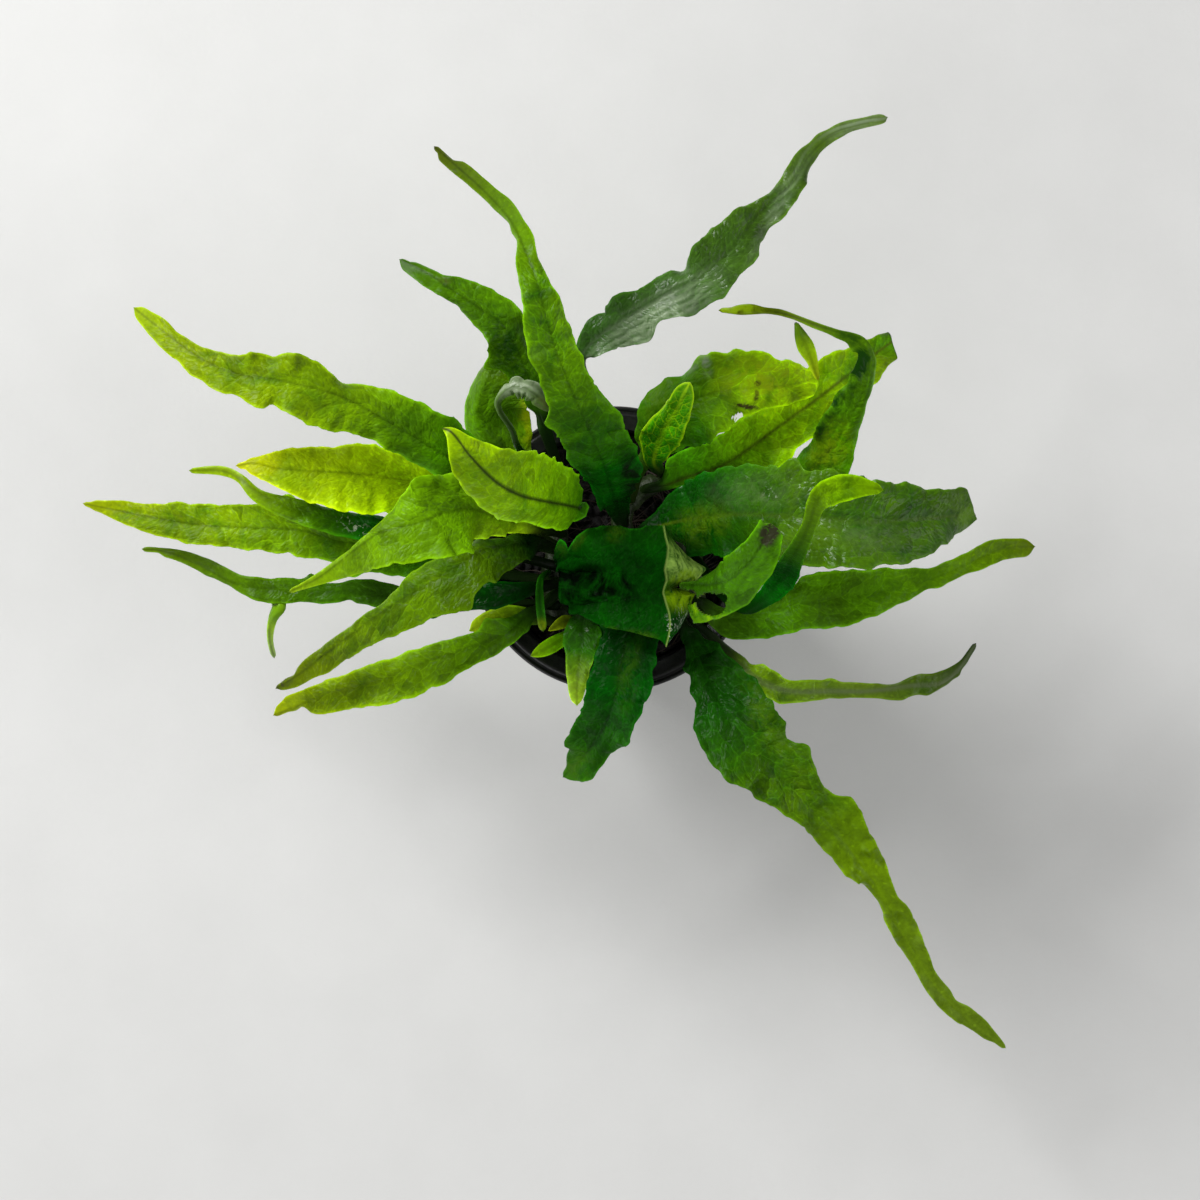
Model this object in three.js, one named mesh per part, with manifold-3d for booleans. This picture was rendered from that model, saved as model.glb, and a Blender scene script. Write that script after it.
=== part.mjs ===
// Narrow leaf java fern in a slotted pot.
// Millimetres, +Z up. The origin is the centre of the pot's underside, +Y is the top of the photograph.
import * as THREE from 'three';
import { mergeVertices } from 'three/addons/utils/BufferGeometryUtils.js';
import Module from 'manifold-3d';

const wasm = await Module();
wasm.setup();

// Pot: a 5 cm net pot
const potHeight = 50;
const rimDiameter = 53;
const potTopDiameter = 47.6;
const potBaseDiameter = 36;
const potWall = 1.2;
const rimDepth = 2.4;
const potFacets = 36;
const slotColumns = 12;
const slotWidth = 4;
const slotRows = [[6, 22], [26, 42]];
const baseSlotCount = 6;
const baseSlotReach = [8.5, 15];
const baseSlotWidth = 3.6;

// Growing medium and creeping stems
const clearance = 0.3;
const mediumTop = 45;
const stemRadius = 2.2;
const stemWaist = 0.86;

// Leaves
const leafThickness = 0.9;
const stationsPerPoint = 1.5;
const curveTension = 0.5;

// The plan positions of the leaves are given as they appear from straight above at the height of the rim,
// from a viewpoint this far over the rim; points above the rim really lie nearer to the line of sight
const viewHeight = 600;
const viewCentre = { x: -2.6, y: -9.5 };

const roughness = { pot: 0.45, medium: 0.95, stem: 0.7, leaf: 0.5 };
const colours = {
  pot: 0x101112,
  medium: 0x4a4032,
  stem: 0x3d4a1e,
  fresh: 0x7fae1a,
  yellow: 0xa9c41c,
  mid: 0x4c8a1c,
  dark: 0x1f4f16,
  grey: 0x5b7f46,
  pale: 0xa5bd5c,
};

// Every leaf runs from its foot on the creeping stem to its tip. A row is one point of the midrib:
// plan x, plan y, height over the rim, width left of the midrib, width right of it.
// trough is how far the margins stand over the midrib, as a share of the width.
const leaves = [
  { name: 'leaf_upper_left', colour: 'fresh', trough: 0.15, midrib: [
    [-11, 5.5, 1, 0.9, 0.9], [-18.5, 10, 16, 1.2, 1.2], [-26, 15, 27, 4.2, 4.6],
    [-32.5, 18, 33, 4, 6.2], [-40, 22.5, 37, 4.6, 5.8], [-51, 28.5, 40, 6.6, 3],
    [-62.5, 31.5, 41, 4.7, 4.8], [-69.5, 32.5, 40, 4.2, 3.6], [-77, 35.5, 38, 3, 2.1],
    [-84.5, 41, 34, 2.2, 1.4], [-89.5, 45, 30, 0.3, 0.3]] },
  { name: 'leaf_left_yellow', colour: 'yellow', trough: 0.15, midrib: [
    [-11.5, 1, 1, 0.9, 0.9], [-23, 7.5, 12, 1.2, 1.2], [-32.5, 11.5, 19, 3.2, 3.6],
    [-40, 13, 22, 6.2, 5], [-47.5, 14, 24, 7.4, 5.5], [-55, 14.5, 25, 6.2, 4.7],
    [-62.5, 15, 25, 3.8, 3.1], [-67, 16, 24, 2.1, 0.9], [-70.5, 15.5, 23, 0.3, 0.3]] },
  { name: 'leaf_arched_top', colour: 'fresh', trough: 0.1, midrib: [
    [-9.5, 7.5, 1, 0.9, 0.9], [-6.5, 7.5, 18, 1.4, 2.2], [-8, 8, 30, 4.6, 6], [-13.5, 9, 45, 4.4, 8.2],
    [-17.5, 10, 53, 5.4, 8.7], [-22, 12.5, 60, 5.2, 7.8], [-26.5, 17, 65, 4.5, 3.9],
    [-30, 21.5, 66, 1.6, 1.2], [-32, 22.5, 65, 0.3, 0.3]] },
  { name: 'leaf_left_broad', colour: 'fresh', trough: 0.15, midrib: [
    [-10, 3, 1, 0.9, 0.9], [-16.5, 4.5, 18, 1.6, 1.6], [-22, 6, 32, 4.2, 5.5], [-27, 7.5, 40, 7.7, 6.6],
    [-32.5, 6.5, 44, 8.5, 7.5], [-36, 5, 45, 7.4, 7.3], [-43.5, 3, 44, 6.3, 2.2],
    [-49, -0.7, 40, 4.4, 0.9], [-55, -5.3, 34, 1.4, 0.9], [-60.5, -8, 28, 0.3, 0.3]] },
  { name: 'leaf_left_slim', colour: 'dark', trough: 0.1, midrib: [
    [-11.5, -3, 1, 0.9, 0.9], [-23, 0, 8, 1.2, 1.2], [-32.5, 1.5, 13, 2, 2], [-42, 3.5, 16, 2.6, 2.4],
    [-51, 6, 18, 3.2, 1.6], [-58.5, 7.5, 18.5, 2.1, 1], [-64, 10.5, 18, 2, 0.8],
    [-68, 13.5, 17, 0.9, 0.9], [-72.5, 15, 15, 0.9, 0.9], [-79, 14.5, 13, 0.3, 0.3]] },
  { name: 'leaf_left_straight', colour: 'fresh', trough: 0.12, midrib: [
    [-11.5, -6, 1, 0.9, 0.9], [-21, -4.5, 3, 1.2, 1.2], [-32.5, -2, 6, 3.7, 2.8],
    [-40, -0.5, 8, 4.6, 3.9], [-51, 1.5, 9, 4.4, 4.5], [-58.5, 3.5, 9, 4.9, 4.5], [-68, 4, 8, 4, 4.3],
    [-77, 4.5, 6, 3.9, 3.6], [-86.5, 6, 3, 3, 2.3], [-94, 7.5, 0, 1.2, 1], [-99, 8.5, -1, 0.3, 0.3]] },
  { name: 'leaf_left_low', colour: 'mid', trough: 0.1, midrib: [
    [-11.5, -10.5, 1, 0.9, 0.9], [-25, -10.5, 2.6, 1.2, 1.2], [-36, -10, 3, 2, 2],
    [-44, -8.5, 3.4, 2.4, 2.5], [-51, -8, 3, 1.6, 1.7], [-58, -8, 2.5, 2, 2],
    [-65.5, -7.5, 2, 2.5, 1.5], [-71.5, -6, 1, 1.5, 1.2], [-77, -3, -1, 1.2, 1.6],
    [-83.5, -0.5, -3, 0.6, 0.8], [-88, 0, -4, 0.3, 0.3]] },
  { name: 'leaf_lower_left', colour: 'fresh', trough: 0.15, midrib: [
    [-9.5, -1, 1, 0.9, 0.9], [-14.5, 1, 12, 1.5, 1.5], [-20.5, 0.5, 20, 4.5, 2.9],
    [-25, -0.5, 23, 5.8, 2.3], [-29.5, -3.5, 24, 6.4, 3.2], [-36, -7.5, 23, 6.5, 3.7],
    [-43.5, -12, 20, 5, 1.5], [-51, -17.5, 14, 3.2, 1.3], [-58.5, -23.2, 7, 2, 1],
    [-63, -26, 3, 0.3, 0.3]] },
  { name: 'leaf_lowest_left', colour: 'fresh', trough: 0.15, midrib: [
    [-10.5, -8.2, 1, 0.9, 0.9], [-17.5, -13.5, 6, 1.6, 1.6], [-21, -16, 7, 2.9, 3.3],
    [-28.5, -19, 8, 4.1, 2.2], [-36, -21.5, 7, 5, 2.9], [-43.5, -24.5, 5, 4.6, 3.2],
    [-51, -26.5, 2, 3.7, 2.5], [-58.5, -29, -1, 1, 1.6], [-63.5, -31, -3, 0.3, 0.3]] },
  { name: 'leaf_young_yellow', colour: 'yellow', trough: 0.1, midrib: [
    [-11, -13.5, 1, 0.8, 0.8], [-16, -12.6, 3.2, 1.6, 1.6], [-20.5, -12.8, 3.6, 2.3, 2.3],
    [-25, -14.2, 3.2, 1.6, 1.6], [-27, -15.3, 3, 0.3, 0.3]] },
  { name: 'leaf_under_lower_left', colour: 'dark', trough: 0.1, midrib: [
    [-9.8, -6.3, 1, 0.8, 0.8], [-16, -7.5, 8, 1.4, 1.4], [-22, -8.5, 11, 2.6, 2.4],
    [-27, -9.6, 11, 1.8, 2], [-31, -11.2, 10, 0.3, 0.3]] },
  { name: 'leaf_top_left', colour: 'mid', trough: 0.15, midrib: [
    [-10, 13.5, 1, 0.9, 0.9], [-13, 23, 12, 1.3, 1.3], [-15.5, 30.5, 20, 2.5, 2.5],
    [-18, 37, 25, 5, 3.1], [-21, 42, 28, 3.7, 4.1], [-26, 45.5, 29, 2.2, 4], [-30.5, 48.5, 29, 1.9, 2],
    [-35, 51.5, 28, 2.1, 0.9], [-40, 54, 26, 0.3, 0.3]] },
  { name: 'leaf_top_left_lower', colour: 'fresh', trough: 0.1, midrib: [
    [-13.2, 13.2, 1, 0.9, 0.9], [-19.5, 18.5, 7, 1.5, 1.5], [-24, 23, 11, 3.3, 3],
    [-24.5, 28, 13, 2.4, 3], [-23, 32.5, 14, 1.6, 3], [-21, 36, 14, 1.5, 2], [-20, 39, 13, 0.3, 0.3]] },
  { name: 'leaf_hooked_small', colour: 'pale', trough: 0.1, midrib: [
    [-11.5, 10.8, 1, 0.8, 0.8], [-14.2, 15.5, 18, 0.8, 0.9], [-17.2, 19.8, 31, 0.8, 2],
    [-19.8, 23.2, 37, 0.8, 2.2], [-21, 27, 40, 1, 1.6], [-19.8, 29.6, 42, 1.7, 1.6],
    [-17, 30, 43, 1.8, 1.6], [-14.2, 28.6, 43, 1.7, 1.6], [-11.4, 26.8, 42, 0.3, 0.3]] },
  { name: 'leaf_tall_back', colour: 'mid', trough: 0.15, midrib: [
    [1.8, 4.5, 1, 0.9, 0.9], [0.5, 8, 14, 2.2, 2.5], [-1.5, 14.5, 30, 4.6, 6.6],
    [-4.5, 22, 43, 5.5, 5.8], [-7.5, 28.5, 51, 5.3, 4.2], [-9.5, 33.5, 55, 4.8, 4.3],
    [-11.5, 39, 58, 5.1, 3.7], [-13, 44.5, 59, 4.1, 3.3], [-14.5, 50, 59, 2.9, 2.4],
    [-16.5, 55.5, 57, 1.7, 1.8], [-19.5, 61.5, 52, 0.8, 1.4], [-24.5, 67, 46, 1.1, 0.8],
    [-29.5, 71.5, 41, 1.2, 0.6], [-33.5, 75, 36, 0.3, 0.3]] },
  { name: 'leaf_wavy_grey', colour: 'grey', trough: 0.1, midrib: [
    [1.2, 8.4, 1, 0.9, 0.9], [-2, 18.5, 12, 1.2, 1.2], [-5.5, 28, 22, 1.6, 1.6],
    [-6, 35.5, 29, 1.6, 1.6], [-2.5, 40, 32, 3.1, 3.5], [1, 42, 34, 4.2, 4], [8.5, 46.5, 37, 3.6, 3.7],
    [16, 51, 38, 3.8, 5.8], [21.5, 55.5, 38, 5.1, 4.6], [27, 62.5, 36, 2.6, 3.6],
    [33, 68, 34, 1.8, 2.5], [36.5, 73.5, 31, 1.7, 1.3], [42, 78, 28, 0.8, 0.8],
    [51, 80.5, 24, 0.3, 0.3]] },
  { name: 'leaf_hooked_long', colour: 'mid', trough: 0.1, midrib: [
    [14, 4, 1, 0.9, 0.9], [25.5, 8, 10, 2, 2], [34.5, 13, 18, 3.3, 4.4], [39.5, 17.5, 23, 4.3, 5],
    [43, 23, 27, 3.2, 3], [46, 28.5, 30, 2.4, 2], [47.5, 33.5, 31.5, 1.8, 1.7], [47, 37, 32, 2.2, 0.8],
    [44, 39.5, 32, 1.8, 0.6], [38.5, 41.5, 31, 0.8, 0.5], [31, 44, 29, 0.6, 0.7],
    [24.5, 44.5, 27, 1, 0.7], [19.5, 44.5, 25, 0.3, 0.3]] },
  { name: 'leaf_brown_rib', colour: 'fresh', trough: 0.12, midrib: [
    [6, 11.2, 1, 0.9, 0.9], [10, 12, 3.5, 1, 1], [14, 13.6, 6, 2.4, 1.5], [21, 16, 9, 5, 2.6],
    [31, 23, 12, 4.1, 4.4], [36.5, 27, 13.5, 4.5, 4], [40.5, 30, 14, 3.5, 5.5],
    [45, 33.5, 13, 3.7, 4.5], [49.4, 36.9, 9.5, 3.2, 3.2], [51.4, 38.4, 3, 2.2, 3.2]] },
  { name: 'leaf_broad_worn', colour: 'yellow', trough: 0.1, midrib: [
    [3.2, 9.6, 1, 0.9, 0.9], [5, 15.5, 8, 1.6, 1.6], [8.5, 23, 15, 4.6, 6.4], [14, 27.5, 19, 5.5, 8.6],
    [20, 29.5, 21, 6.9, 7.3], [25.5, 30, 22, 6.6, 4.7], [32, 30.5, 21, 4, 3.6], [38, 32, 19, 2.4, 3]] },
  { name: 'leaf_young_veined', colour: 'fresh', trough: 0.1, midrib: [
    [9, 14, 1, 0.8, 0.8], [8.4, 16, 13, 1.4, 1.8], [8, 20.5, 20, 3.8, 4], [11, 25, 26, 3, 3.5],
    [13, 28.5, 30, 2.3, 2.3], [14.5, 31, 32, 0.4, 0.4]] },
  { name: 'leaf_right_broad', colour: 'grey', trough: 0.1, midrib: [
    [3.6, 2.6, 1, 0.9, 0.9], [8.5, 4.3, 5, 2.6, 2.4], [14, 5.5, 12, 6.8, 5.9],
    [23.5, 6.5, 24, 9.1, 7.5], [33, 6, 33, 9, 8.4], [40.5, 5.5, 36, 9.1, 8.9], [47.5, 5, 36, 7.8, 8.6],
    [55, 5.5, 34, 6.7, 7.7], [61.5, 6, 30, 5.5, 4.9], [67.5, 6.5, 24, 4, 3.5]] },
  { name: 'leaf_highest', colour: 'fresh', trough: 0.15, midrib: [
    [15.6, -2.4, 1, 0.9, 0.9], [20, -6.5, 9, 1.2, 1.2], [22.8, -10, 20, 1.8, 1.8],
    [26, -9.6, 32, 2.6, 2.2], [30.5, -5, 46, 3, 3], [33.5, 0, 58, 2.6, 3], [35.8, 4.5, 70, 2.4, 2.8],
    [38, 9, 80, 2.6, 2.8], [42, 11.8, 86, 2.6, 2.8], [46, 11.8, 88, 1.8, 2], [50, 11, 87, 0.3, 0.3]] },
  { name: 'leaf_forked', colour: 'yellow', trough: 0.1, midrib: [
    [16.4, -8, 1, 0.8, 0.8], [15.6, -7.4, 14, 0.9, 0.9], [12.6, -6.9, 25, 1, 1],
    [11, -6.8, 31, 1.2, 1.2], [13.5, -6.4, 36, 2.2, 2.2], [18, -5.2, 43, 3.4, 4.6],
    [22.5, -2.5, 49, 4.2, 6.4], [25.5, 0.4, 52, 3.4, 4.5], [28.4, 3.4, 53, 2.4, 2.6]] },
  { name: 'leaf_centre_ruffled', colour: 'dark', trough: 0.4, midrib: [
    [14.6, -5.6, 1, 0.9, 0.9], [13.5, -6, 12, 2.6, 2.6], [11, -6, 20, 8.4, 7], [8.5, -6, 23, 11.4, 9.6],
    [4, -6, 22, 10.8, 10], [-2, -5.5, 19, 8.8, 9.4], [-7, -4, 17, 4.6, 5.8], [-10, -2, 17, 2.2, 2.6],
    [-12.3, -0.3, 17.5, 0.3, 0.3]] },
  { name: 'leaf_bottom', colour: 'mid', trough: 0.15, midrib: [
    [5, -7.5, 1, 0.9, 0.9], [3.5, -12.5, 7, 5, 5], [2, -18, 10, 6.2, 4.8], [0.5, -26.5, 9, 5.7, 5.7],
    [-2, -33.5, 5, 5.4, 5.1], [-5.5, -38.5, 1, 3.8, 3.9], [-9.5, -42.5, -3, 0.6, 0.6]] },
  { name: 'leaf_lower_right_long', colour: 'mid', trough: 0.2, midrib: [
    [12.6, -13, 1, 0.9, 0.9], [16, -20, 8, 3, 2.4], [20, -28, 13, 7.3, 5.3], [24.5, -35.5, 15, 7.6, 7],
    [33, -44, 14, 5.9, 5.2], [39.5, -50.5, 12, 6.1, 3.7], [45, -57, 8, 4.4, 3.6],
    [49.5, -63.5, 4, 2.8, 1.6], [54, -72, -2, 3.1, 1.7], [60, -81.5, -8, 1.3, 1.8],
    [66.5, -88, -13, 1.7, 1.1], [73, -93, -18, 0.3, 0.3]] },
  { name: 'leaf_right_thin', colour: 'grey', trough: 0.1, midrib: [
    [15, -13.6, 1, 0.8, 0.8], [22, -20, 3.2, 1.2, 1.2], [27, -24.5, 3, 2.4, 2.2],
    [33, -26.5, 2, 2, 2.3], [40.5, -26.5, 1, 1.8, 1.8], [47.5, -26.5, 0, 1.2, 1.4],
    [55, -25.5, -1, 1.3, 2.2], [61, -25, -2, 1.9, 0.9], [64.5, -22, -3, 1, 0.9],
    [67.5, -17.5, -4, 0.3, 0.3]] },
  { name: 'leaf_right_straight', colour: 'fresh', trough: 0.15, midrib: [
    [16, -9.8, 1, 0.9, 0.9], [22.5, -13, 3.4, 1.6, 1.6], [31, -11, 6, 2.6, 4.8],
    [40.5, -9.5, 8, 5.3, 5.4], [49.5, -8, 9, 4, 3.8], [58, -6, 9, 1.9, 1.7], [65.5, -3, 8, 1.9, 1.4],
    [72, 0, 6, 1.6, 1.7], [78.5, 0.5, 4, 0.3, 0.3]] },
  { name: 'plantlet_leaf_left', colour: 'fresh', trough: 0.1, midrib: [
    [-7.6, -15.4, 2, 0.6, 0.6], [-10.5, -17.3, 5, 1.4, 1.4], [-13.2, -18.8, 6, 1.3, 1.3],
    [-15.6, -20, 6, 0.3, 0.3]] },
  { name: 'plantlet_leaf_down', colour: 'pale', trough: 0.1, midrib: [
    [-6, -15.2, 2, 0.6, 0.6], [-5.8, -18, 5, 2.4, 2.4], [-6, -22, 6, 2.2, 2.4],
    [-6.3, -26, 5, 1.6, 1.7], [-6.4, -29.2, 4, 0.3, 0.3]] },
  { name: 'plantlet_leaf_small', colour: 'yellow', trough: 0.1, midrib: [
    [-7.6, -13.2, 2, 0.6, 0.6], [-9.4, -13.6, 5, 1.2, 1.2], [-12.2, -15.2, 6, 0.3, 0.3]] },
  { name: 'sprout_left', colour: 'dark', trough: 0.1, midrib: [
    [-12.2, -4.3, 1.8, 0.5, 0.5], [-13.7, -5.8, 8, 0.6, 0.6], [-13.8, -10, 12, 0.8, 0.8],
    [-13.2, -15.4, 11, 0.8, 0.8]] },
  { name: 'plantlet_on_hooked_leaf', colour: 'fresh', trough: 0.1, midrib: [
    [34.4, 41.4, 29, 0.5, 0.5], [35.2, 38.5, 28, 1.3, 1.5], [36.8, 35, 27, 1.4, 1.1],
    [37.9, 31.6, 26, 0.3, 0.3]] },
  { name: 'plantlet_on_low_leaf', colour: 'fresh', trough: 0.1, midrib: [
    [-62.6, -10.6, 1.2, 1.6, 1], [-63.8, -13, -1, 1.1, 0.7], [-64.2, -16.5, -4, 0.7, 0.5],
    [-63.3, -20.3, -7, 0.3, 0.3]] },
];

// Creeping stems lie on the growing medium; each row is plan x, plan y of the stem's centre line
const stems = [
  {
    name: 'creeping_stem_left',
    line: [[-13.8, 14.2], [-10.5, 9], [-10.6, 2], [-11.4, -5], [-11, -11], [-7.6, -15]],
  },
  {
    name: 'creeping_stem_centre',
    line: [[9, 13.4], [4.8, 10.6], [1.7, 7], [2.4, 1.5], [4.6, -3.5], [5, -9]],
  },
  {
    name: 'creeping_stem_right',
    line: [[13.2, 6], [14.2, 0], [15.4, -6], [14.8, -11], [12.6, -14.6]],
  },
];

// A point named by its place in the straight-down view, moved to where it really is at its height
function realPoint([x, y, height]) {
  const scale = 1 - height / viewHeight;
  return new THREE.Vector3(
    viewCentre.x + (x - viewCentre.x) * scale,
    viewCentre.y + (y - viewCentre.y) * scale,
    potHeight + height,
  );
}

// Closed skin over rings of points that all go round the same way; the last ring may run to one tip point.
// The under half's diagonals lie below the upper half's, so that a thin twisted blade doesn't cut itself.
function skinOverRings(rings, tip) {
  const size = rings[0].length;
  const positions = rings.flat();
  const faces = [];
  for (let ring = 0; ring < rings.length - 1; ring += 1) {
    for (let k = 0; k < size; k += 1) {
      const next = (k + 1) % size;
      const [a, b] = [ring * size + k, ring * size + next];
      if (k < size / 2) {
        faces.push(a, b, b + size, a, b + size, a + size);
      } else {
        faces.push(a, b, a + size, b, b + size, a + size);
      }
    }
  }
  for (let k = 1; k < size - 1; k += 1) {
    faces.push(0, k + 1, k);
  }
  const last = (rings.length - 1) * size;
  if (tip) {
    positions.push(tip);
    for (let k = 0; k < size; k += 1) {
      faces.push(last + k, last + ((k + 1) % size), positions.length - 1);
    }
  } else {
    for (let k = 1; k < size - 1; k += 1) {
      faces.push(last, last + k, last + k + 1);
    }
  }
  const coordinates = positions.flatMap((point) => point.toArray());
  const geometry = new THREE.BufferGeometry();
  geometry.setAttribute('position', new THREE.Float32BufferAttribute(coordinates, 3));
  geometry.setIndex(faces);
  geometry.computeVertexNormals();
  return geometry;
}

// A blade is a lens-shaped section carried along its midrib: sharp at both margins, thickest on the midrib
function bladeGeometry({ midrib, trough }) {
  const spine = new THREE.CatmullRomCurve3(midrib.map(realPoint), false, 'catmullrom', curveTension);
  const widths = new THREE.CatmullRomCurve3(
    midrib.map(([, , height, left, right]) => {
      const scale = 1 - height / viewHeight;
      return new THREE.Vector3(left * scale, right * scale, 0);
    }),
    false,
    'catmullrom',
    curveTension,
  );
  const stations = Math.round((midrib.length - 1) * stationsPerPoint);
  const up = new THREE.Vector3(0, 0, 1);
  const tangents = Array.from({ length: stations }, (_, station) => spine.getTangent(station / stations));
  const lefts = tangents.map((along) => new THREE.Vector3().crossVectors(up, along).normalize());
  // A stalk that leans back before its blade sets off would turn over: each side keeps to its own side
  for (let station = stations - 2; station >= 0; station -= 1) {
    if (lefts[station].dot(lefts[station + 1]) < 0) {
      lefts[station].negate();
    }
  }
  const rings = [];
  for (let station = 0; station < stations; station += 1) {
    const t = station / stations;
    const centre = spine.getPoint(t);
    const width = widths.getPoint(t);
    const left = lefts[station];
    const normal = new THREE.Vector3().crossVectors(tangents[station], left).normalize();
    const sectionPoint = (across, side) => {
      const reach = across > 0 ? width.x : width.y;
      const lift = trough * reach * across * across + side * (leafThickness / 2) * (1 - across * across);
      return centre.clone().addScaledVector(left, across * reach).addScaledVector(normal, lift);
    };
    rings.push([
      sectionPoint(1, 1),
      sectionPoint(0.5, 1),
      sectionPoint(0, 1),
      sectionPoint(-0.5, 1),
      sectionPoint(-1, 1),
      sectionPoint(-0.5, -1),
      sectionPoint(0, -1),
      sectionPoint(0.5, -1),
    ]);
  }
  return skinOverRings(rings, spine.getPoint(1));
}

// A creeping stem is a round rod that swells and narrows a little and ends in a blunt point
function stemGeometry({ line }) {
  const height = mediumTop + clearance + stemRadius;
  const path = new THREE.CatmullRomCurve3(line.map(([x, y]) => new THREE.Vector3(x, y, height)));
  const steps = 10;
  const sides = 8;
  const up = new THREE.Vector3(0, 0, 1);
  const rings = [];
  for (let step = 0; step < steps; step += 1) {
    const along = path.getTangentAt(step / steps);
    const left = new THREE.Vector3().crossVectors(up, along).normalize();
    const centre = path.getPointAt(step / steps);
    const radius = stemRadius * (step % 2 === 0 ? stemWaist : 1);
    const ring = [];
    for (let k = 0; k < sides; k += 1) {
      const angle = (2 * Math.PI * k) / sides;
      ring.push(centre.clone()
        .addScaledVector(left, radius * Math.cos(angle))
        .addScaledVector(up, radius * Math.sin(angle)));
    }
    rings.push(ring);
  }
  return skinOverRings(rings, path.getPointAt(1));
}

function lathe(profile) {
  const geometry = new THREE.LatheGeometry(profile.map(([r, z]) => new THREE.Vector2(r, z)), potFacets);
  geometry.rotateX(Math.PI / 2);
  return geometry;
}

function toSolid(geometry) {
  const bare = geometry.clone();
  bare.deleteAttribute('normal');
  bare.deleteAttribute('uv');
  const merged = mergeVertices(bare, 1e-4);
  return new wasm.Manifold(new wasm.Mesh({
    numProp: 3,
    vertProperties: new Float32Array(merged.attributes.position.array),
    triVerts: new Uint32Array(merged.index.array),
  }));
}

function toGeometry(solid) {
  const mesh = solid.getMesh();
  const geometry = new THREE.BufferGeometry();
  geometry.setAttribute('position', new THREE.BufferAttribute(new Float32Array(mesh.vertProperties), 3));
  geometry.setIndex(new THREE.BufferAttribute(new Uint32Array(mesh.triVerts), 1));
  geometry.computeVertexNormals();
  return geometry;
}

function wallRadius(z) {
  const share = z / potHeight;
  return (potBaseDiameter + (potTopDiameter - potBaseDiameter) * share) / 2;
}

// Net pot: tapered wall, flat rim ring, two rows of upright slots and slots in the floor
function potGeometry() {
  const rimRadius = rimDiameter / 2;
  const edge = 0.4;
  let pot = toSolid(lathe([
    [0, 0],
    [wallRadius(0), 0],
    [wallRadius(potHeight - rimDepth), potHeight - rimDepth],
    [rimRadius - edge, potHeight - rimDepth],
    [rimRadius, potHeight - rimDepth + edge],
    [rimRadius, potHeight - edge],
    [rimRadius - edge, potHeight],
    [wallRadius(potHeight) - potWall + edge, potHeight],
    [wallRadius(potHeight - edge) - potWall, potHeight - edge],
    [wallRadius(potWall) - potWall, potWall],
    [0, potWall],
  ]));
  for (let column = 0; column < slotColumns; column += 1) {
    const turn = (2 * Math.PI * (column + 0.5)) / slotColumns;
    for (const [low, high] of slotRows) {
      const reach = 8;
      const slot = new THREE.BoxGeometry(reach, slotWidth, high - low);
      slot.translate(wallRadius((low + high) / 2) - potWall / 2, 0, (low + high) / 2);
      slot.rotateZ(turn);
      pot = pot.subtract(toSolid(slot));
    }
  }
  const [inner, outer] = baseSlotReach;
  for (let k = 0; k < baseSlotCount; k += 1) {
    const slot = new THREE.BoxGeometry(outer - inner, baseSlotWidth, 4 * potWall);
    slot.translate((inner + outer) / 2, 0, 0);
    slot.rotateZ((2 * Math.PI * k) / baseSlotCount);
    pot = pot.subtract(toSolid(slot));
  }
  return toGeometry(pot);
}

// Growing medium: a fibrous plug that fills the pot to a few millimetres under the rim
function mediumGeometry() {
  const low = potWall + clearance;
  const gap = potWall + clearance;
  const shoulder = 2;
  return lathe([
    [0, low],
    [wallRadius(low) - gap, low],
    [wallRadius(mediumTop - shoulder) - gap, mediumTop - shoulder],
    [wallRadius(mediumTop) - gap - shoulder, mediumTop],
    [0, mediumTop],
  ]);
}

function mesh(name, geometry, colour, kind) {
  const material = new THREE.MeshStandardMaterial({
    color: colours[colour],
    roughness: roughness[kind],
    metalness: 0,
  });
  const piece = new THREE.Mesh(geometry, material);
  piece.name = name;
  return piece;
}

const fern = new THREE.Group();
fern.add(mesh('net_pot', potGeometry(), 'pot', 'pot'));
fern.add(mesh('growing_medium', mediumGeometry(), 'medium', 'medium'));
for (const stem of stems) {
  fern.add(mesh(stem.name, stemGeometry(stem), 'stem', 'stem'));
}
for (const leaf of leaves) {
  fern.add(mesh(leaf.name, bladeGeometry(leaf), leaf.colour, 'leaf'));
}

export default fern;
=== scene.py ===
import bpy
import numpy as np
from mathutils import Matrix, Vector


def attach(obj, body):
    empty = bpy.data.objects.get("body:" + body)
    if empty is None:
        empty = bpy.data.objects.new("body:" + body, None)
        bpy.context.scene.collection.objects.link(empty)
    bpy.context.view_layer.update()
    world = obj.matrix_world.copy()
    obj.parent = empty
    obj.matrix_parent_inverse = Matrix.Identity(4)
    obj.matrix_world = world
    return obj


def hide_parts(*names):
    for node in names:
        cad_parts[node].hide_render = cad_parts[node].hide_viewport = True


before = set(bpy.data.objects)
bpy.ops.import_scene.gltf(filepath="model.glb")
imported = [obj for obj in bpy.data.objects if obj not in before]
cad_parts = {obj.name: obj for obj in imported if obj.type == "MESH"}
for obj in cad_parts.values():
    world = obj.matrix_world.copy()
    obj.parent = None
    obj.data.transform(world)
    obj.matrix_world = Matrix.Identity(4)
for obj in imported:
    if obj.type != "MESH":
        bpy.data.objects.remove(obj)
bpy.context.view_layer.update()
print("frame loaded")

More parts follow.
